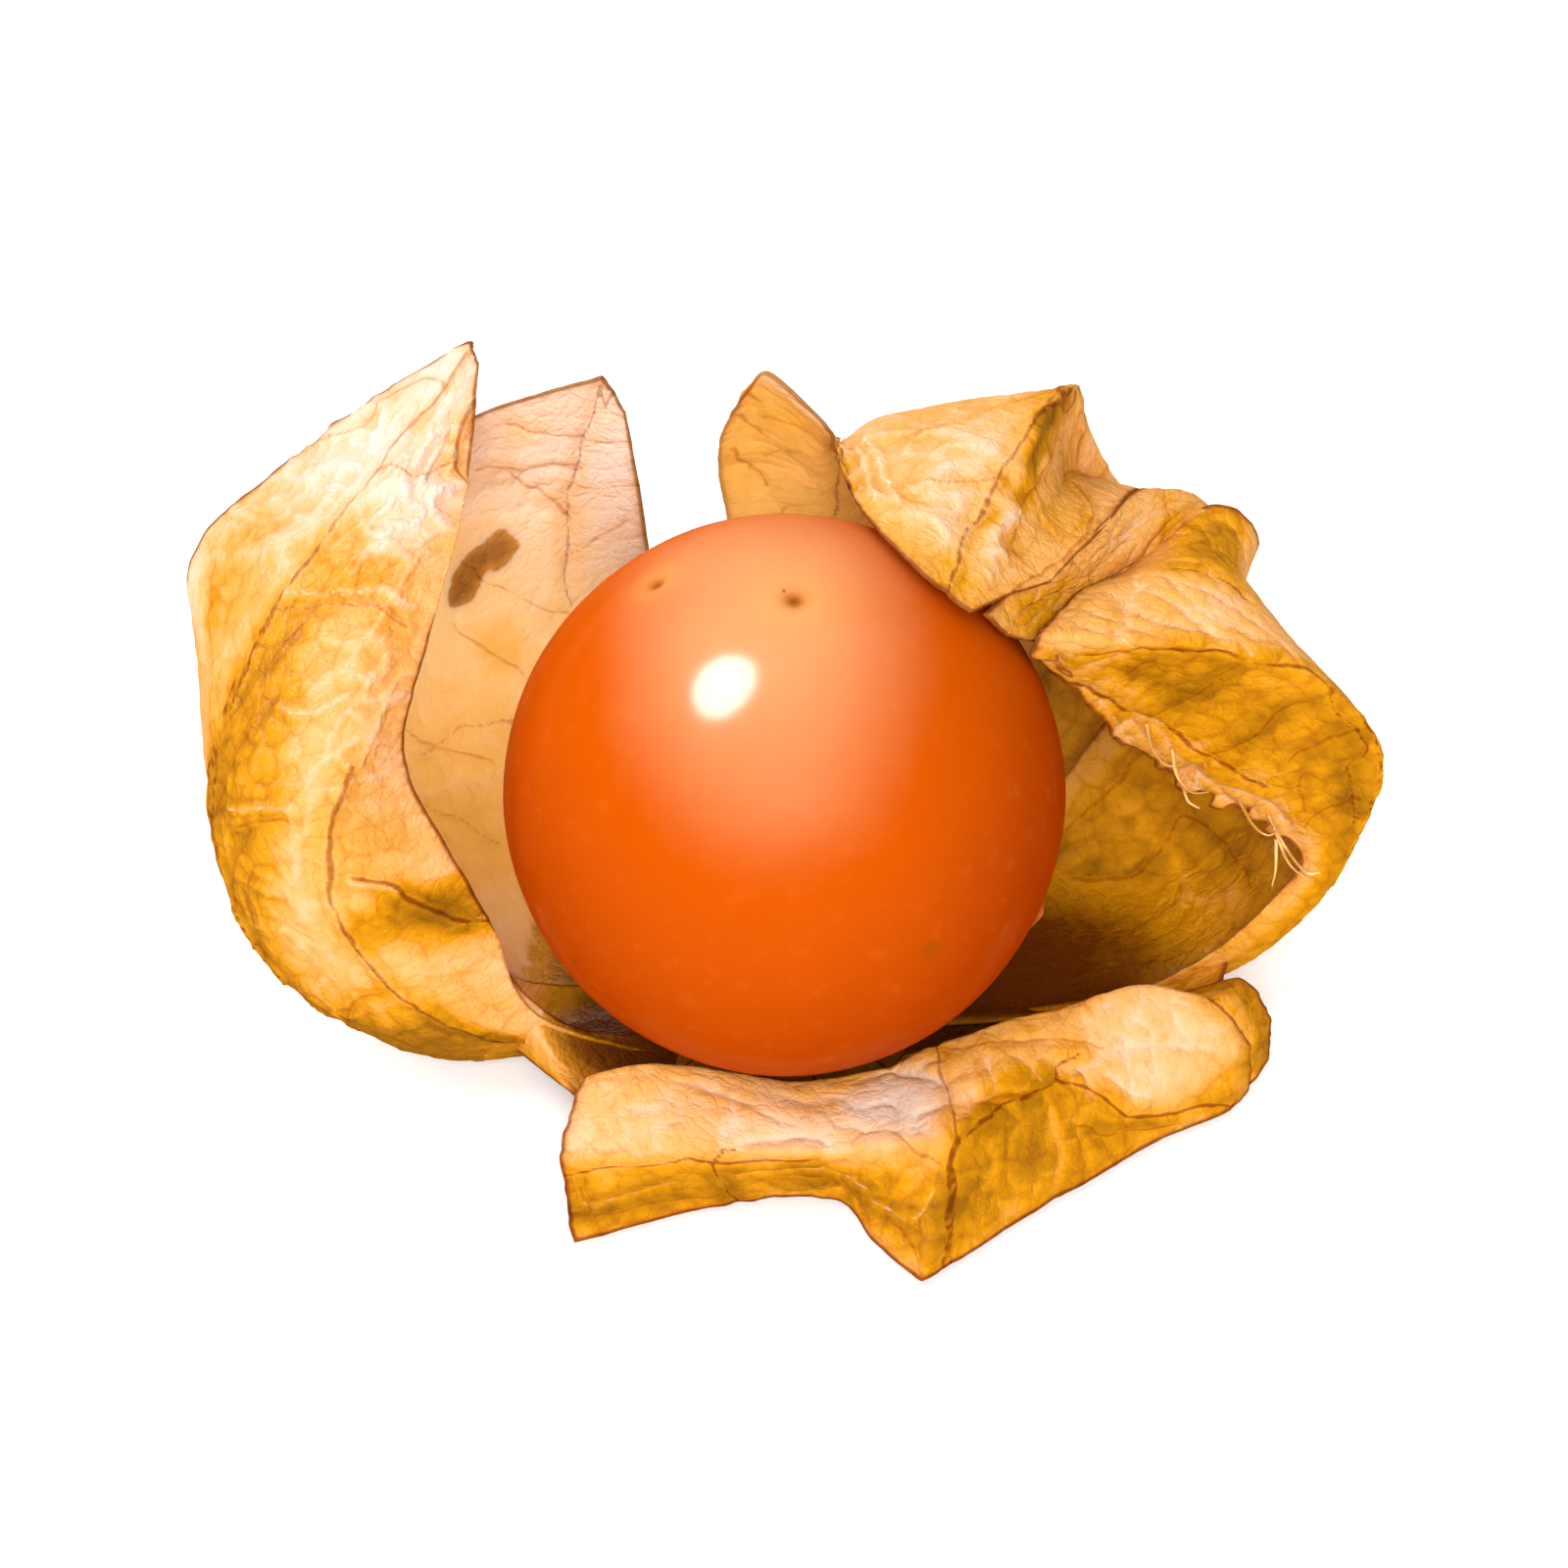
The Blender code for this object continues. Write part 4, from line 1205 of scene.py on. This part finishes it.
def paper_finish():
    """Dried calyx, from the marks on the sheets and some noise in their charts."""
    paper = Finish("husk_paper")
    chart = paper.node("ShaderNodeUVMap", {"uv_map": "sheet"})
    drift = paper.moved("MULTIPLY", paper.noise(chart, DRIFT_SCALE, output="Color"), DRIFT)
    bent = paper.moved("ADD", chart, drift)
    net = paper_web(paper, bent, NET_SCALE)
    lace = paper_web(paper, bent, LACE_SCALE)
    clouds = paper.noise(chart, CLOUD_SCALE, 5.0)
    mottle = paper.noise(chart, MOTTLE_SCALE, 4.0)
    grain = paper.noise(chart, GRAIN_SCALE, 2.0)

    tone = paper.mark("tone") + (clouds - 0.5) * TONE_NOISE + (mottle - 0.5) * TONE_NOISE
    # painted light and shade: crests of the relief are made paler and its hollows darker
    tone = tone - paper.mark("crest") * PAINTED_RELIEF_LIGHT
    strength = paper.eased(tone, *LINED_TONES) * NET_SHARES[0]
    strength = strength + paper.eased(clouds, *LINED_CLOUDS) * NET_SHARES[1]
    # brown from real bruises, and painted shade and shadow near the foot under the berry
    bruise = paper.mark("bruise") + (mottle - 0.5) * BRUISE_AND_SHADE_NOISE[0] + (clouds - 0.5) * BRUISE_AND_SHADE_NOISE[1]
    bruised_and_shaded = paper.eased(bruise, *BRUISED_AND_SHADED)
    vein = paper.eased(paper.mark("vein") + (mottle - 0.5) * LINE_NOISE, *VEIN_LINE)
    rib = paper.eased(paper.mark("rib") + (mottle - 0.5) * LINE_NOISE, *RIB_LINE)
    crease = paper.eased(paper.mark("crease"), *GLINT_LINE)
    edge = paper.mark("edge")
    veined = paper.eased(mottle, *VEIN_PATCHES)
    worn = paper.eased(mottle, *WORN_PATCHES)
    layers = [
        # share of the layer, its colour and how it is laid on
        (paper.eased(lace, *LACE_LINE) * strength * LACE_SHARE, LACE_TINT, "MULTIPLY"),
        (paper.eased(net, *NET_LINE) * strength, FINE_VEIN, "MULTIPLY"),
        (paper.eased(paper.mark("wall"), *WALL_LINE) * strength, FINE_VEIN, "MULTIPLY"),
        # brown: real bruises, and painted shade near the foot
        (bruised_and_shaded * BRUISE_AND_SHADE_SHARE, BRUISE_AND_SHADE_BROWN, "MIX"),
        # painted shadow: where the mark is strongest, under the berry, the colour goes nearly black; it
        # also darkens the strongest real bruises a little
        (paper.eased(bruise, *SHADOWED) * SHADOW_SHARE, PAINTED_SHADOW, "MIX"),
        # painted glints: thin pale lines along the creases, in patches, where light would catch
        (crease * paper.eased(mottle, *GLINT_PATCHES) * GLINT_SHARE, BLEACHED, "MIX"),
        (vein * (veined * VEIN_SHARES[1] + VEIN_SHARES[0]), SIDE_VEIN, "MULTIPLY"),
        (rib * (strength * RIB_SHARES[1] + RIB_SHARES[0]), MIDRIB, "MULTIPLY"),
        (paper.eased(edge, *WORN_LINE) * worn * WORN_SHARE, SIDE_VEIN, "MULTIPLY"),
        (paper.eased(edge, *RIM_LINE) * RIM_SHARE, MIDRIB, "MULTIPLY"),
    ]
    color = paper.node("ShaderNodeValToRGB", {"stops": PAPER_STOPS}, {"Fac": tone})
    for share, tint, blend_type in layers:
        color = paper.blend(share, color, tint, blend_type)

    relief = paper.eased(net, *RELIEF_LINE) * 0.5 + paper.eased(lace, *RELIEF_LINE) * 0.25 + grain * 0.3
    sheet = paper.principled({
        "Base Color": color,
        "Roughness": mottle * 0.25 + 0.33,
        "Normal": paper.bump(relief, 0.7, 0.00008),
        "Specular IOR Level": 0.04,
    })
    through = paper.node("ShaderNodeBsdfTranslucent", {}, {"Color": LIGHT_THROUGH})
    share = paper.mark("thin") * (1.0 - rib * RIB_SHADE) * (1.0 - vein * VEIN_SHADE) * (1.0 - bruised_and_shaded)
    return paper.close(paper.node("ShaderNodeMixShader", {}, {0: share, 1: sheet, 2: through}))


husk_paper = paper_finish()
print("paper nodes:", len(husk_paper.node_tree.nodes))

# %% [markdown]
# ## The lobes
#
# Each fine lobe takes the place of its plain solid. The print says how far its
# points lie from that solid, so that the looks and the frame stay together.

# %% Measure and place a piece
POINTS_BETWEEN = 31      # one point in so many is measured


def surface_of(node):
    """A search tree of a frame node's surface."""
    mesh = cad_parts[node].data
    return BVHTree.FromPolygons([v.co for v in mesh.vertices], [p.vertices for p in mesh.polygons])


def distance_from_frame(piece, node):
    """The mean and the largest distance, in mm, from some of a piece's points to a node."""
    tree = surface_of(node)
    points = list(piece.data.vertices)[::POINTS_BETWEEN]
    found = [tree.find_nearest(piece.matrix_world @ point.co)[3] / MM for point in points]
    return round(sum(found) / len(found), 2), round(max(found), 2)


def finish_piece(piece, material, node=None):
    """Give a piece its material and its place in the frame."""
    piece.data.materials.append(material)
    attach(piece, "root")
    if node:
        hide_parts(node)
        print(piece.name, "mm from frame", distance_from_frame(piece, node))
    print(piece.name, "faces", len(piece.data.polygons))


# %% Make the lobes
SEEDS_PER_LOBE = 100

for number, (lobe, facts) in enumerate(LOBES.items()):
    grid, flat, marks = shape_lobe({**PLAIN_SHEET, **facts}, SEEDS_PER_LOBE * (number + 1))
    print(lobe, "ironed flat, in mm:", np.ptp(flat, axis=(0, 1)).round(1))
    sheet = closed_sheet(f"{lobe}_lobe_tissue", kept_clear(grid), PAPER, marks, flat)
    node = f"husk_{lobe}_lobe"
    finish_piece(sheet, husk_paper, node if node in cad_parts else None)

# %% [markdown]
# ## Turned pieces
#
# The berry, the foot of the husk and the stalk are all rings of points joined
# into a skin, each with its own rule for where a ring's points go. A ring at
# each end is closed with a fan of triangles.

# %% Skins over rings
def full_turn(segments):
    """Angles once round, in radians."""
    return np.arange(segments) / segments * 2.0 * math.pi


def ringed(name, rings):
    """A closed mesh object over rings of points, with a point in the middle of each end."""
    count, segments = rings.shape[:2]
    middles = [rings[:1].mean(axis=1), rings[-1:].mean(axis=1)]
    corners = np.concatenate([rings.reshape(-1, 3), *middles])
    index = np.arange(count * segments).reshape(count, segments)
    beside = np.roll(index, -1, axis=1)
    quads = np.stack([index[:-1], beside[:-1], beside[1:], index[1:]], -1).reshape(-1, 4).tolist()
    start, end = count * segments, count * segments + 1
    quads += [(start, b, a) for a, b in zip(index[0], beside[0])]
    quads += [(end, a, b) for a, b in zip(index[-1], beside[-1])]
    return add_piece(name, corners, quads)


# %% [markdown]
# ## The berry
#
# The fruit is nearly a ball. A closer look shows low swellings over the seeds,
# a small brown scar at the top where the flower's style stood, with a pale halo
# round it, a smaller scar beside it, a speck on its front and a pale wart.

# %% Berry shape
BERRY_RINGS = 150
BERRY_SEGMENTS = 220
SWELLINGS = (0.05, 5.0)              # height and size, in millimetres
SWELLING_SEED = 71
SUNK = 0.06
SCARS = [
    # direction from the berry's middle, reach, depth, halo
    ((0.035, -0.041, 0.998), 0.38, 0.2, 1.5),
    ((-0.451, 0.176, 0.875), 0.30, 0.22, 0.8),
    ((0.510, -0.855, 0.094), 0.26, 0.05, 0.01),
]
PIT_WIDTH = 1.3                      # a scar's pit is this much wider than its colour
WART = (0.906, -0.30, -0.30)
WART_HEIGHT = 0.2
WART_REACH = 0.35
WART_HALO = 0.4
# painted light and shade: the skin is paler towards the top, where light falls, and deeper red on the
# flanks and underside
SHADED_SIDE = (0.14, 0.10, -0.96)
SHADED_FLANKS = 0.68


def reach_from(directions, middle):
    """Distance in mm on the berry's skin from a spot to each direction."""
    middle = np.asarray(middle) / np.linalg.norm(middle)
    return np.arccos(np.clip(directions @ middle, -1.0, 1.0)) * berry_radius


def make_berry():
    """The berry's skin, with its scars, halos and its painted sheen and shade stored on it."""
    tilt = (np.arange(BERRY_RINGS) + 0.5) / BERRY_RINGS * math.pi
    tilt, turn = np.meshgrid(tilt, full_turn(BERRY_SEGMENTS), indexing="ij")
    directions = np.stack([np.sin(tilt) * np.cos(turn), np.sin(tilt) * np.sin(turn), -np.cos(tilt)], -1)
    height = drifting(directions * berry_radius, SWELLINGS, SWELLING_SEED, layers=2) - SUNK
    scar = np.zeros_like(tilt)
    halo = np.zeros_like(tilt)
    for middle, reach, depth, glow in SCARS:
        away = reach_from(directions, middle)
        height -= depth * bump_of(away, reach * PIT_WIDTH)
        scar = np.maximum(scar, bump_of(away, reach))
        halo = np.maximum(halo, bump_of(away, glow))
    away = reach_from(directions, WART)
    height += WART_HEIGHT * bump_of(away, WART_REACH)
    halo = np.maximum(halo, bump_of(away, WART_HALO))
    # a number from painted sheen at the top to painted shade on the flanks and underside
    ripe = directions @ SHADED_SIDE + SHADED_FLANKS * directions[..., 0] ** 2
    piece = ringed("berry_skin", berry_middle + directions * (berry_radius + height[..., None]))
    marks = {"scar": scar, "halo": halo, "ripe": ripe}
    add_marks(piece, {mark: np.append(values, [0.0, 0.0]) for mark, values in marks.items()})
    return piece


berry = make_berry()

# %% [markdown]
# ## The berry's skin
#
# The skin is smooth and waxy: one small soft highlight, and orange flesh that
# lets light in a little way. Subsurface light with a long red reach deepens the
# red-orange of its shaded side. Light and shade are painted into its colour too:
# the top is painted a paler salmon sheen and the flanks and underside a deeper
# red shade, and a stored number runs from one to the other. The gloss is a thin
# coat over a dull skin. Faint mottling and fine dots keep it alive.

# %% Colours of the berry
# the pale salmon is a painted sheen and the deep red a painted shade; the orange between is the berry's own
# colour
PAINTED_SHEEN_SALMON = (0.78, 0.37, 0.16)
BERRY_ORANGE = (0.50, 0.070, 0.0003)
PAINTED_SHADE_RED = (0.29, 0.028, 0.0001)
PALE_DOT = (0.90, 0.25, 0.04)
HALO = (0.86, 0.35, 0.08)
SCAR_BROWN = (0.24, 0.055, 0.002)
SHEEN_FADES = (-1.35, -0.44)
SHADE_GROWS = (-0.6, 0.75)
DOTTED = (0.55, 0.75)
CLOUDS_PER_METRE = 140.0
DOTS_PER_METRE = 1500.0
SHEEN_SHADE_NOISE = 0.3
DOT_SHARE = 0.05
HALO_SHARE = 0.4


# %% Skin finish
def skin_finish():
    """The berry's waxy skin."""
    skin = Finish("berry_skin")
    places = skin.places()
    clouds = skin.noise(places, CLOUDS_PER_METRE, 4.0)
    dots = skin.noise(places, DOTS_PER_METRE, 2.0)
    ripe = skin.mark("ripe") + (clouds - 0.5) * SHEEN_SHADE_NOISE
    scar = skin.mark("scar")
    # painted sheen at the top, then the berry's own orange, then painted shade on the flanks and underside
    color = skin.blend(skin.eased(ripe, *SHEEN_FADES), PAINTED_SHEEN_SALMON, BERRY_ORANGE)
    color = skin.blend(skin.eased(ripe, *SHADE_GROWS), color, PAINTED_SHADE_RED)
    color = skin.blend(skin.eased(dots, *DOTTED) * DOT_SHARE, color, PALE_DOT)
    color = skin.blend(skin.mark("halo") * HALO_SHARE, color, HALO)
    color = skin.blend(scar, color, SCAR_BROWN)
    return skin.close(skin.principled({
        "Base Color": color,
        "Roughness": clouds * 0.1 + 0.55,
        "Normal": skin.bump(clouds * 0.6 + dots * 0.06, 0.15, 0.0002),
        "Specular IOR Level": 0.0,
        "Coat Weight": (1.0 - scar) * 0.10,
        "Coat Roughness": 0.15,
        "Coat IOR": 1.5,
        "Subsurface Weight": 0.15,
        "Subsurface Radius": (1.0, 0.12, 0.01),
        "Subsurface Scale": 0.0015,
    }))


finish_piece(berry, skin_finish(), "berry")

# %% [markdown]
# ## The foot of the husk and its stalk
#
# Under the berry the ten ribs of the calyx run together in a flat, ribbed foot,
# and the dry stalk leaves it at the back. The foot is made of the husk's paper,
# darker where the ribs meet, and painted deep brown all over as the shade under
# the berry. The stalk is a ribbed rod, broken off at its end.

# %% Foot
FOOT_SEGMENTS = 180
FOOT_RINGS = 60
FOOT_OUTLINE = [
    # radius and height, as shares of the foot's own
    (0.25, 0.05), (0.75, 0.0), (0.92, 0.1), (1.0, 0.28), (0.93, 0.45), (0.8, 0.56), (0.5, 0.78), (0.3, 0.9),
]
RIBS_ROUND = 5.0         # half as many as the calyx has
RIB_DEPTH = 0.035
RIB_SHARPNESS = 3
RIB_LINE_WIDTH = 0.3
FOOT_SPREAD = 1.25
FOOT_CLEARANCE = 0.03
# the foot lies under the berry: its bruise mark paints that shade deep brown all over
FOOT_MARKS = {
    "vein": 1.0, "wall": 1.0, "edge": 1.0, "crease": 1.0,
    "crest": 0.0, "bruise": 1.4, "tone": 0.75, "thin": 0.16,
}
foot_low, foot_high = (np.array(corner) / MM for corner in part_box("husk_base"))
foot_radius = (foot_high[0] - foot_low[0]) / 2.0
foot_height = foot_high[2]


def make_foot():
    """The ribbed foot of the husk, with the same marks and chart as the lobes."""
    weights = smooth_weights(len(FOOT_OUTLINE), np.linspace(0.0, 1.0, FOOT_RINGS))
    radius, height = (weights @ np.array(FOOT_OUTLINE)).T[:, :, None]
    turn = full_turn(FOOT_SEGMENTS)
    ribs = RIB_DEPTH * np.abs(np.cos(RIBS_ROUND * turn)) ** RIB_SHARPNESS
    reach = FOOT_SPREAD * foot_radius * (radius + ribs * radius**2 - RIB_DEPTH)
    level = np.maximum(height * foot_height, FOOT_CLEARANCE)
    rings = np.stack([reach * np.cos(turn), reach * np.sin(turn), np.broadcast_to(level, reach.shape)], -1)
    piece = ringed("husk_foot", rings + ground_spot)
    rib = np.abs(np.sin(RIBS_ROUND * turn)) * reach * RIB_LINE_WIDTH
    corners = np.array([point.co for point in piece.data.vertices]) / MM
    add_marks(piece, {mark: np.full(len(corners), number) for mark, number in FOOT_MARKS.items()})
    add_marks(piece, {"rib": np.append(rib, [1.0, 1.0])})
    add_chart(piece, corners[:, :2])
    return piece


finish_piece(make_foot(), husk_paper, "husk_base")

# %% Tubes
def tube_rings(route, radius_of, segments, steps):
    """Rings of points round a smooth route. radius_of gives radii for (length, turn) arrays."""
    route = np.asarray(route, float) + ground_spot
    length = np.linspace(0.0, 1.0, steps)
    line = smooth_weights(len(route), length) @ route
    run = np.gradient(line, axis=0)
    run /= np.linalg.norm(run, axis=1, keepdims=True)
    side = np.cross(run, (0.0, 0.0, 1.0))
    side /= np.linalg.norm(side, axis=1, keepdims=True)
    up = np.cross(side, run)
    turn = full_turn(segments)
    radius = radius_of(length[:, None], turn[None, :])[..., None]
    spokes = side[:, None] * np.cos(turn)[None, :, None] + up[:, None] * np.sin(turn)[None, :, None]
    return line[:, None] + spokes * radius


# %% Stalk
STALK_ROUTE = [(-1.0, 4.4, 0.9), (-1.2, 7.0, 0.75), (-1.9, 10.0, 0.7), (-3.2, 13.2, 0.7)]
STALK_RADIUS = 0.62
STALK_RIBS = 6.0
STALK_RIB_DEPTH = 0.10
STALK_TWIST = 3.0
STALK_WAIST = 0.80
STALK_SEGMENTS = 72
STALK_RINGS = 120


def stalk_radius(length, turn):
    """Radius of the ribbed stalk, wider at both ends and shrunken along its middle."""
    ribs = 1.0 + STALK_RIB_DEPTH * np.cos(STALK_RIBS * turn + STALK_TWIST * length)
    waist = STALK_WAIST + (1.0 - STALK_WAIST) * (2.0 * length - 1.0) ** 2
    return STALK_RADIUS * ribs * waist / (1.0 + STALK_RIB_DEPTH)


stalk = ringed("stalk_bark", tube_rings(STALK_ROUTE, stalk_radius, STALK_SEGMENTS, STALK_RINGS))

# %% Bark
STRAND_SCALE = (3500.0, 350.0, 3500.0)   # waves per metre, few of them along the stalk
PATCHES_PER_METRE = 600.0
FURROWED = (0.3, 0.7)
PATCHED = (0.45, 0.7)
PATCH_SHARE = 0.6
FURROW = (0.16, 0.075, 0.020)
STRAW_BROWN = (0.48, 0.29, 0.11)
WORN_BARK = (0.30, 0.17, 0.05)


def bark_finish():
    """The stalk's ribbed bark."""
    bark = Finish("stalk_bark")
    places = bark.places()
    fibre = bark.noise(bark.moved("MULTIPLY", places, STRAND_SCALE), 1.0, 4.0)
    patches = bark.noise(places, PATCHES_PER_METRE)
    color = bark.blend(bark.eased(fibre, *FURROWED), FURROW, STRAW_BROWN)
    color = bark.blend(bark.eased(patches, *PATCHED) * PATCH_SHARE, color, WORN_BARK)
    return bark.close(bark.principled({
        "Base Color": color,
        "Roughness": patches * 0.2 + 0.6,
        "Normal": bark.bump(fibre, 0.7, 0.00012),
    }))


finish_piece(stalk, bark_finish(), "stalk")

# %% [markdown]
# ## Loose fibres
#
# Where the right lobe is torn, a few fibres of its veins hang out of the edge.
# Each is a thin tube along a curved route, thinner towards its free end.

# %% Fibres
FIBRES = [
    [(16.6, 2.6, 8.2), (17.2, 1.7, 7.5), (17.9, 1.2, 6.8), (18.4, 1.1, 6.9)],
    [(16.8, 2.2, 8.0), (17.3, 1.5, 7.0), (17.9, 1.1, 6.6)],
    [(16.9, 2.1, 7.5), (16.9, 1.6, 6.6), (16.8, 1.4, 5.9)],
    [(13.6, 2.9, 9.6), (13.8, 2.4, 9.1), (14.2, 2.1, 9.0)],
    [(12.3, 3.1, 12.1), (12.5, 2.7, 11.3), (13.0, 2.4, 10.8), (13.5, 2.3, 10.9)],
    [(13.2, 3.0, 11.0), (13.4, 2.6, 10.1), (13.9, 2.3, 9.6), (14.5, 2.2, 9.7)],
    [(15.6, 2.8, 8.7), (16.1, 2.4, 7.9), (16.6, 2.1, 7.7), (17.0, 2.0, 8.1)],
]
FIBRE_RADIUS = 0.07
FIBRE_TAPER = 0.65
FIBRE_SEGMENTS = 8
FIBRE_RINGS = 24
DARK_STRAW = (0.50, 0.22, 0.02)
LIGHT_STRAW = (0.86, 0.52, 0.18)
STRAW_PATCHES_PER_METRE = 900.0
STRAW_PATCHES = (0.35, 0.65)


def fibre_radius(length, turn):
    """Radius of a fibre, down to a third at its free end."""
    return FIBRE_RADIUS * (1.0 - FIBRE_TAPER * length) * np.ones_like(turn)


def straw_finish():
    """The fibres' straw."""
    straw = Finish("straw")
    places = straw.places()
    patches = straw.noise(places, STRAW_PATCHES_PER_METRE)
    color = straw.blend(straw.eased(patches, *STRAW_PATCHES), DARK_STRAW, LIGHT_STRAW)
    return straw.close(straw.principled({"Base Color": color, "Roughness": 0.5}))


straw = straw_finish()
for number, route in enumerate(FIBRES):
    rings = tube_rings(route, fibre_radius, FIBRE_SEGMENTS, FIBRE_RINGS)
    finish_piece(ringed(f"loose_fibre_{number + 1}", rings), straw)

# %% [markdown]
# ## Floor, light and camera
#
# The berry lies on a plain white floor. Glare would hide the colours of a glossy
# fruit, so the lights are split: three broad soft panels only light surfaces,
# and one small one, the gleam, only shows as the clear highlight. The back panel
# shines through the thin sheets. All are far lights, so that the floor is lit
# evenly, and the surround fills the shade. The camera looks down on the berry
# from in front, halfway between level and straight down, from far enough away
# for a calm perspective.

# %% Floor
FLOOR_HALF = 1500.0
floor_corners = FLOOR_HALF * np.array([(-1, -1, 0), (1, -1, 0), (1, 1, 0), (-1, 1, 0)])
floor = add_piece("floor", floor_corners, [(0, 1, 2, 3)])
floor_finish = Finish("floor_card")
floor.data.materials.append(floor_finish.close(floor_finish.principled({
    "Base Color": (0.72, 0.72, 0.72, 1.0),
    "Roughness": 0.9,
    "Emission Color": (1.0, 1.0, 1.0, 1.0),
    "Emission Strength": 0.3,
})))
floor.visible_glossy = False

# %% Surround
SURROUND_WHITE = (1.0, 0.99, 0.97, 1.0)
SURROUND_STRENGTH = 0.5
world = bpy.data.worlds.new("surround")
world.use_nodes = True
surround = world.node_tree.nodes["Background"].inputs
surround["Color"].default_value = SURROUND_WHITE
surround["Strength"].default_value = SURROUND_STRENGTH
world.cycles_visibility.glossy = False
bpy.context.scene.world = world
bpy.context.scene.view_settings.view_transform = "Standard"

# %% Camera
VIEW_SCALE = 0.0528      # metres of the picture's width at the berry
VIEW_DISTANCE = 0.220
SENSOR = 36.0
CLIP_START = 0.01
AIM_HEIGHT = 0.0115
AIM_UP = 0.00056         # the aim, moved up in the picture
toward_camera = Vector((0.0, -1.0, 1.0)).normalized()
picture_up = Vector((0.0, 1.0, 1.0)).normalized()
aim = Vector(ground_spot * MM) + Vector((0.0, 0.0, AIM_HEIGHT)) + picture_up * AIM_UP

camera_data = bpy.data.cameras.new("camera")
camera_data.sensor_width = SENSOR
camera_data.lens = SENSOR * VIEW_DISTANCE / VIEW_SCALE
camera_data.clip_start = CLIP_START
camera = add_object("camera", camera_data)
camera.location = aim + toward_camera * VIEW_DISTANCE
camera.rotation_euler = (-toward_camera).to_track_quat("-Z", "Y").to_euler()
bpy.context.scene.camera = camera
print("lens, in mm:", round(camera_data.lens, 1))


# %% Lights
WARM_WHITE = (1.0, 0.98, 0.95)
WHITE = (1.0, 1.0, 1.0)
FROM_ABOVE = (-0.38, 0.03, 0.92)
LIGHTS = [
    # name, direction towards the light, width in degrees, strength, colour
    ("overhead", FROM_ABOVE, 40.0, 0.36, WARM_WHITE),
    ("front_panel", (0.0, -0.75, 0.66), 36.0, 0.95, WARM_WHITE),
    ("back_panel", (-0.45, 0.78, 0.42), 40.0, 0.6, WARM_WHITE),
    ("gleam", FROM_ABOVE, 25.0, 10.0, WHITE),
]


def add_light(name, direction, spread, strength, color):
    """A far, soft light. At strength 1 it turns white paper white."""
    data = bpy.data.lights.new(name, "SUN")
    data.angle = math.radians(spread)
    data.energy = strength * math.pi
    data.color = color
    light = add_object(name, data)
    light.rotation_euler = Vector(direction).to_track_quat("Z", "Y").to_euler()
    return light


for name, *settings in LIGHTS:
    light = add_light(name, *settings)
    light.visible_glossy = name == "gleam"
    light.visible_diffuse = name != "gleam"
print("lights:", len(LIGHTS))
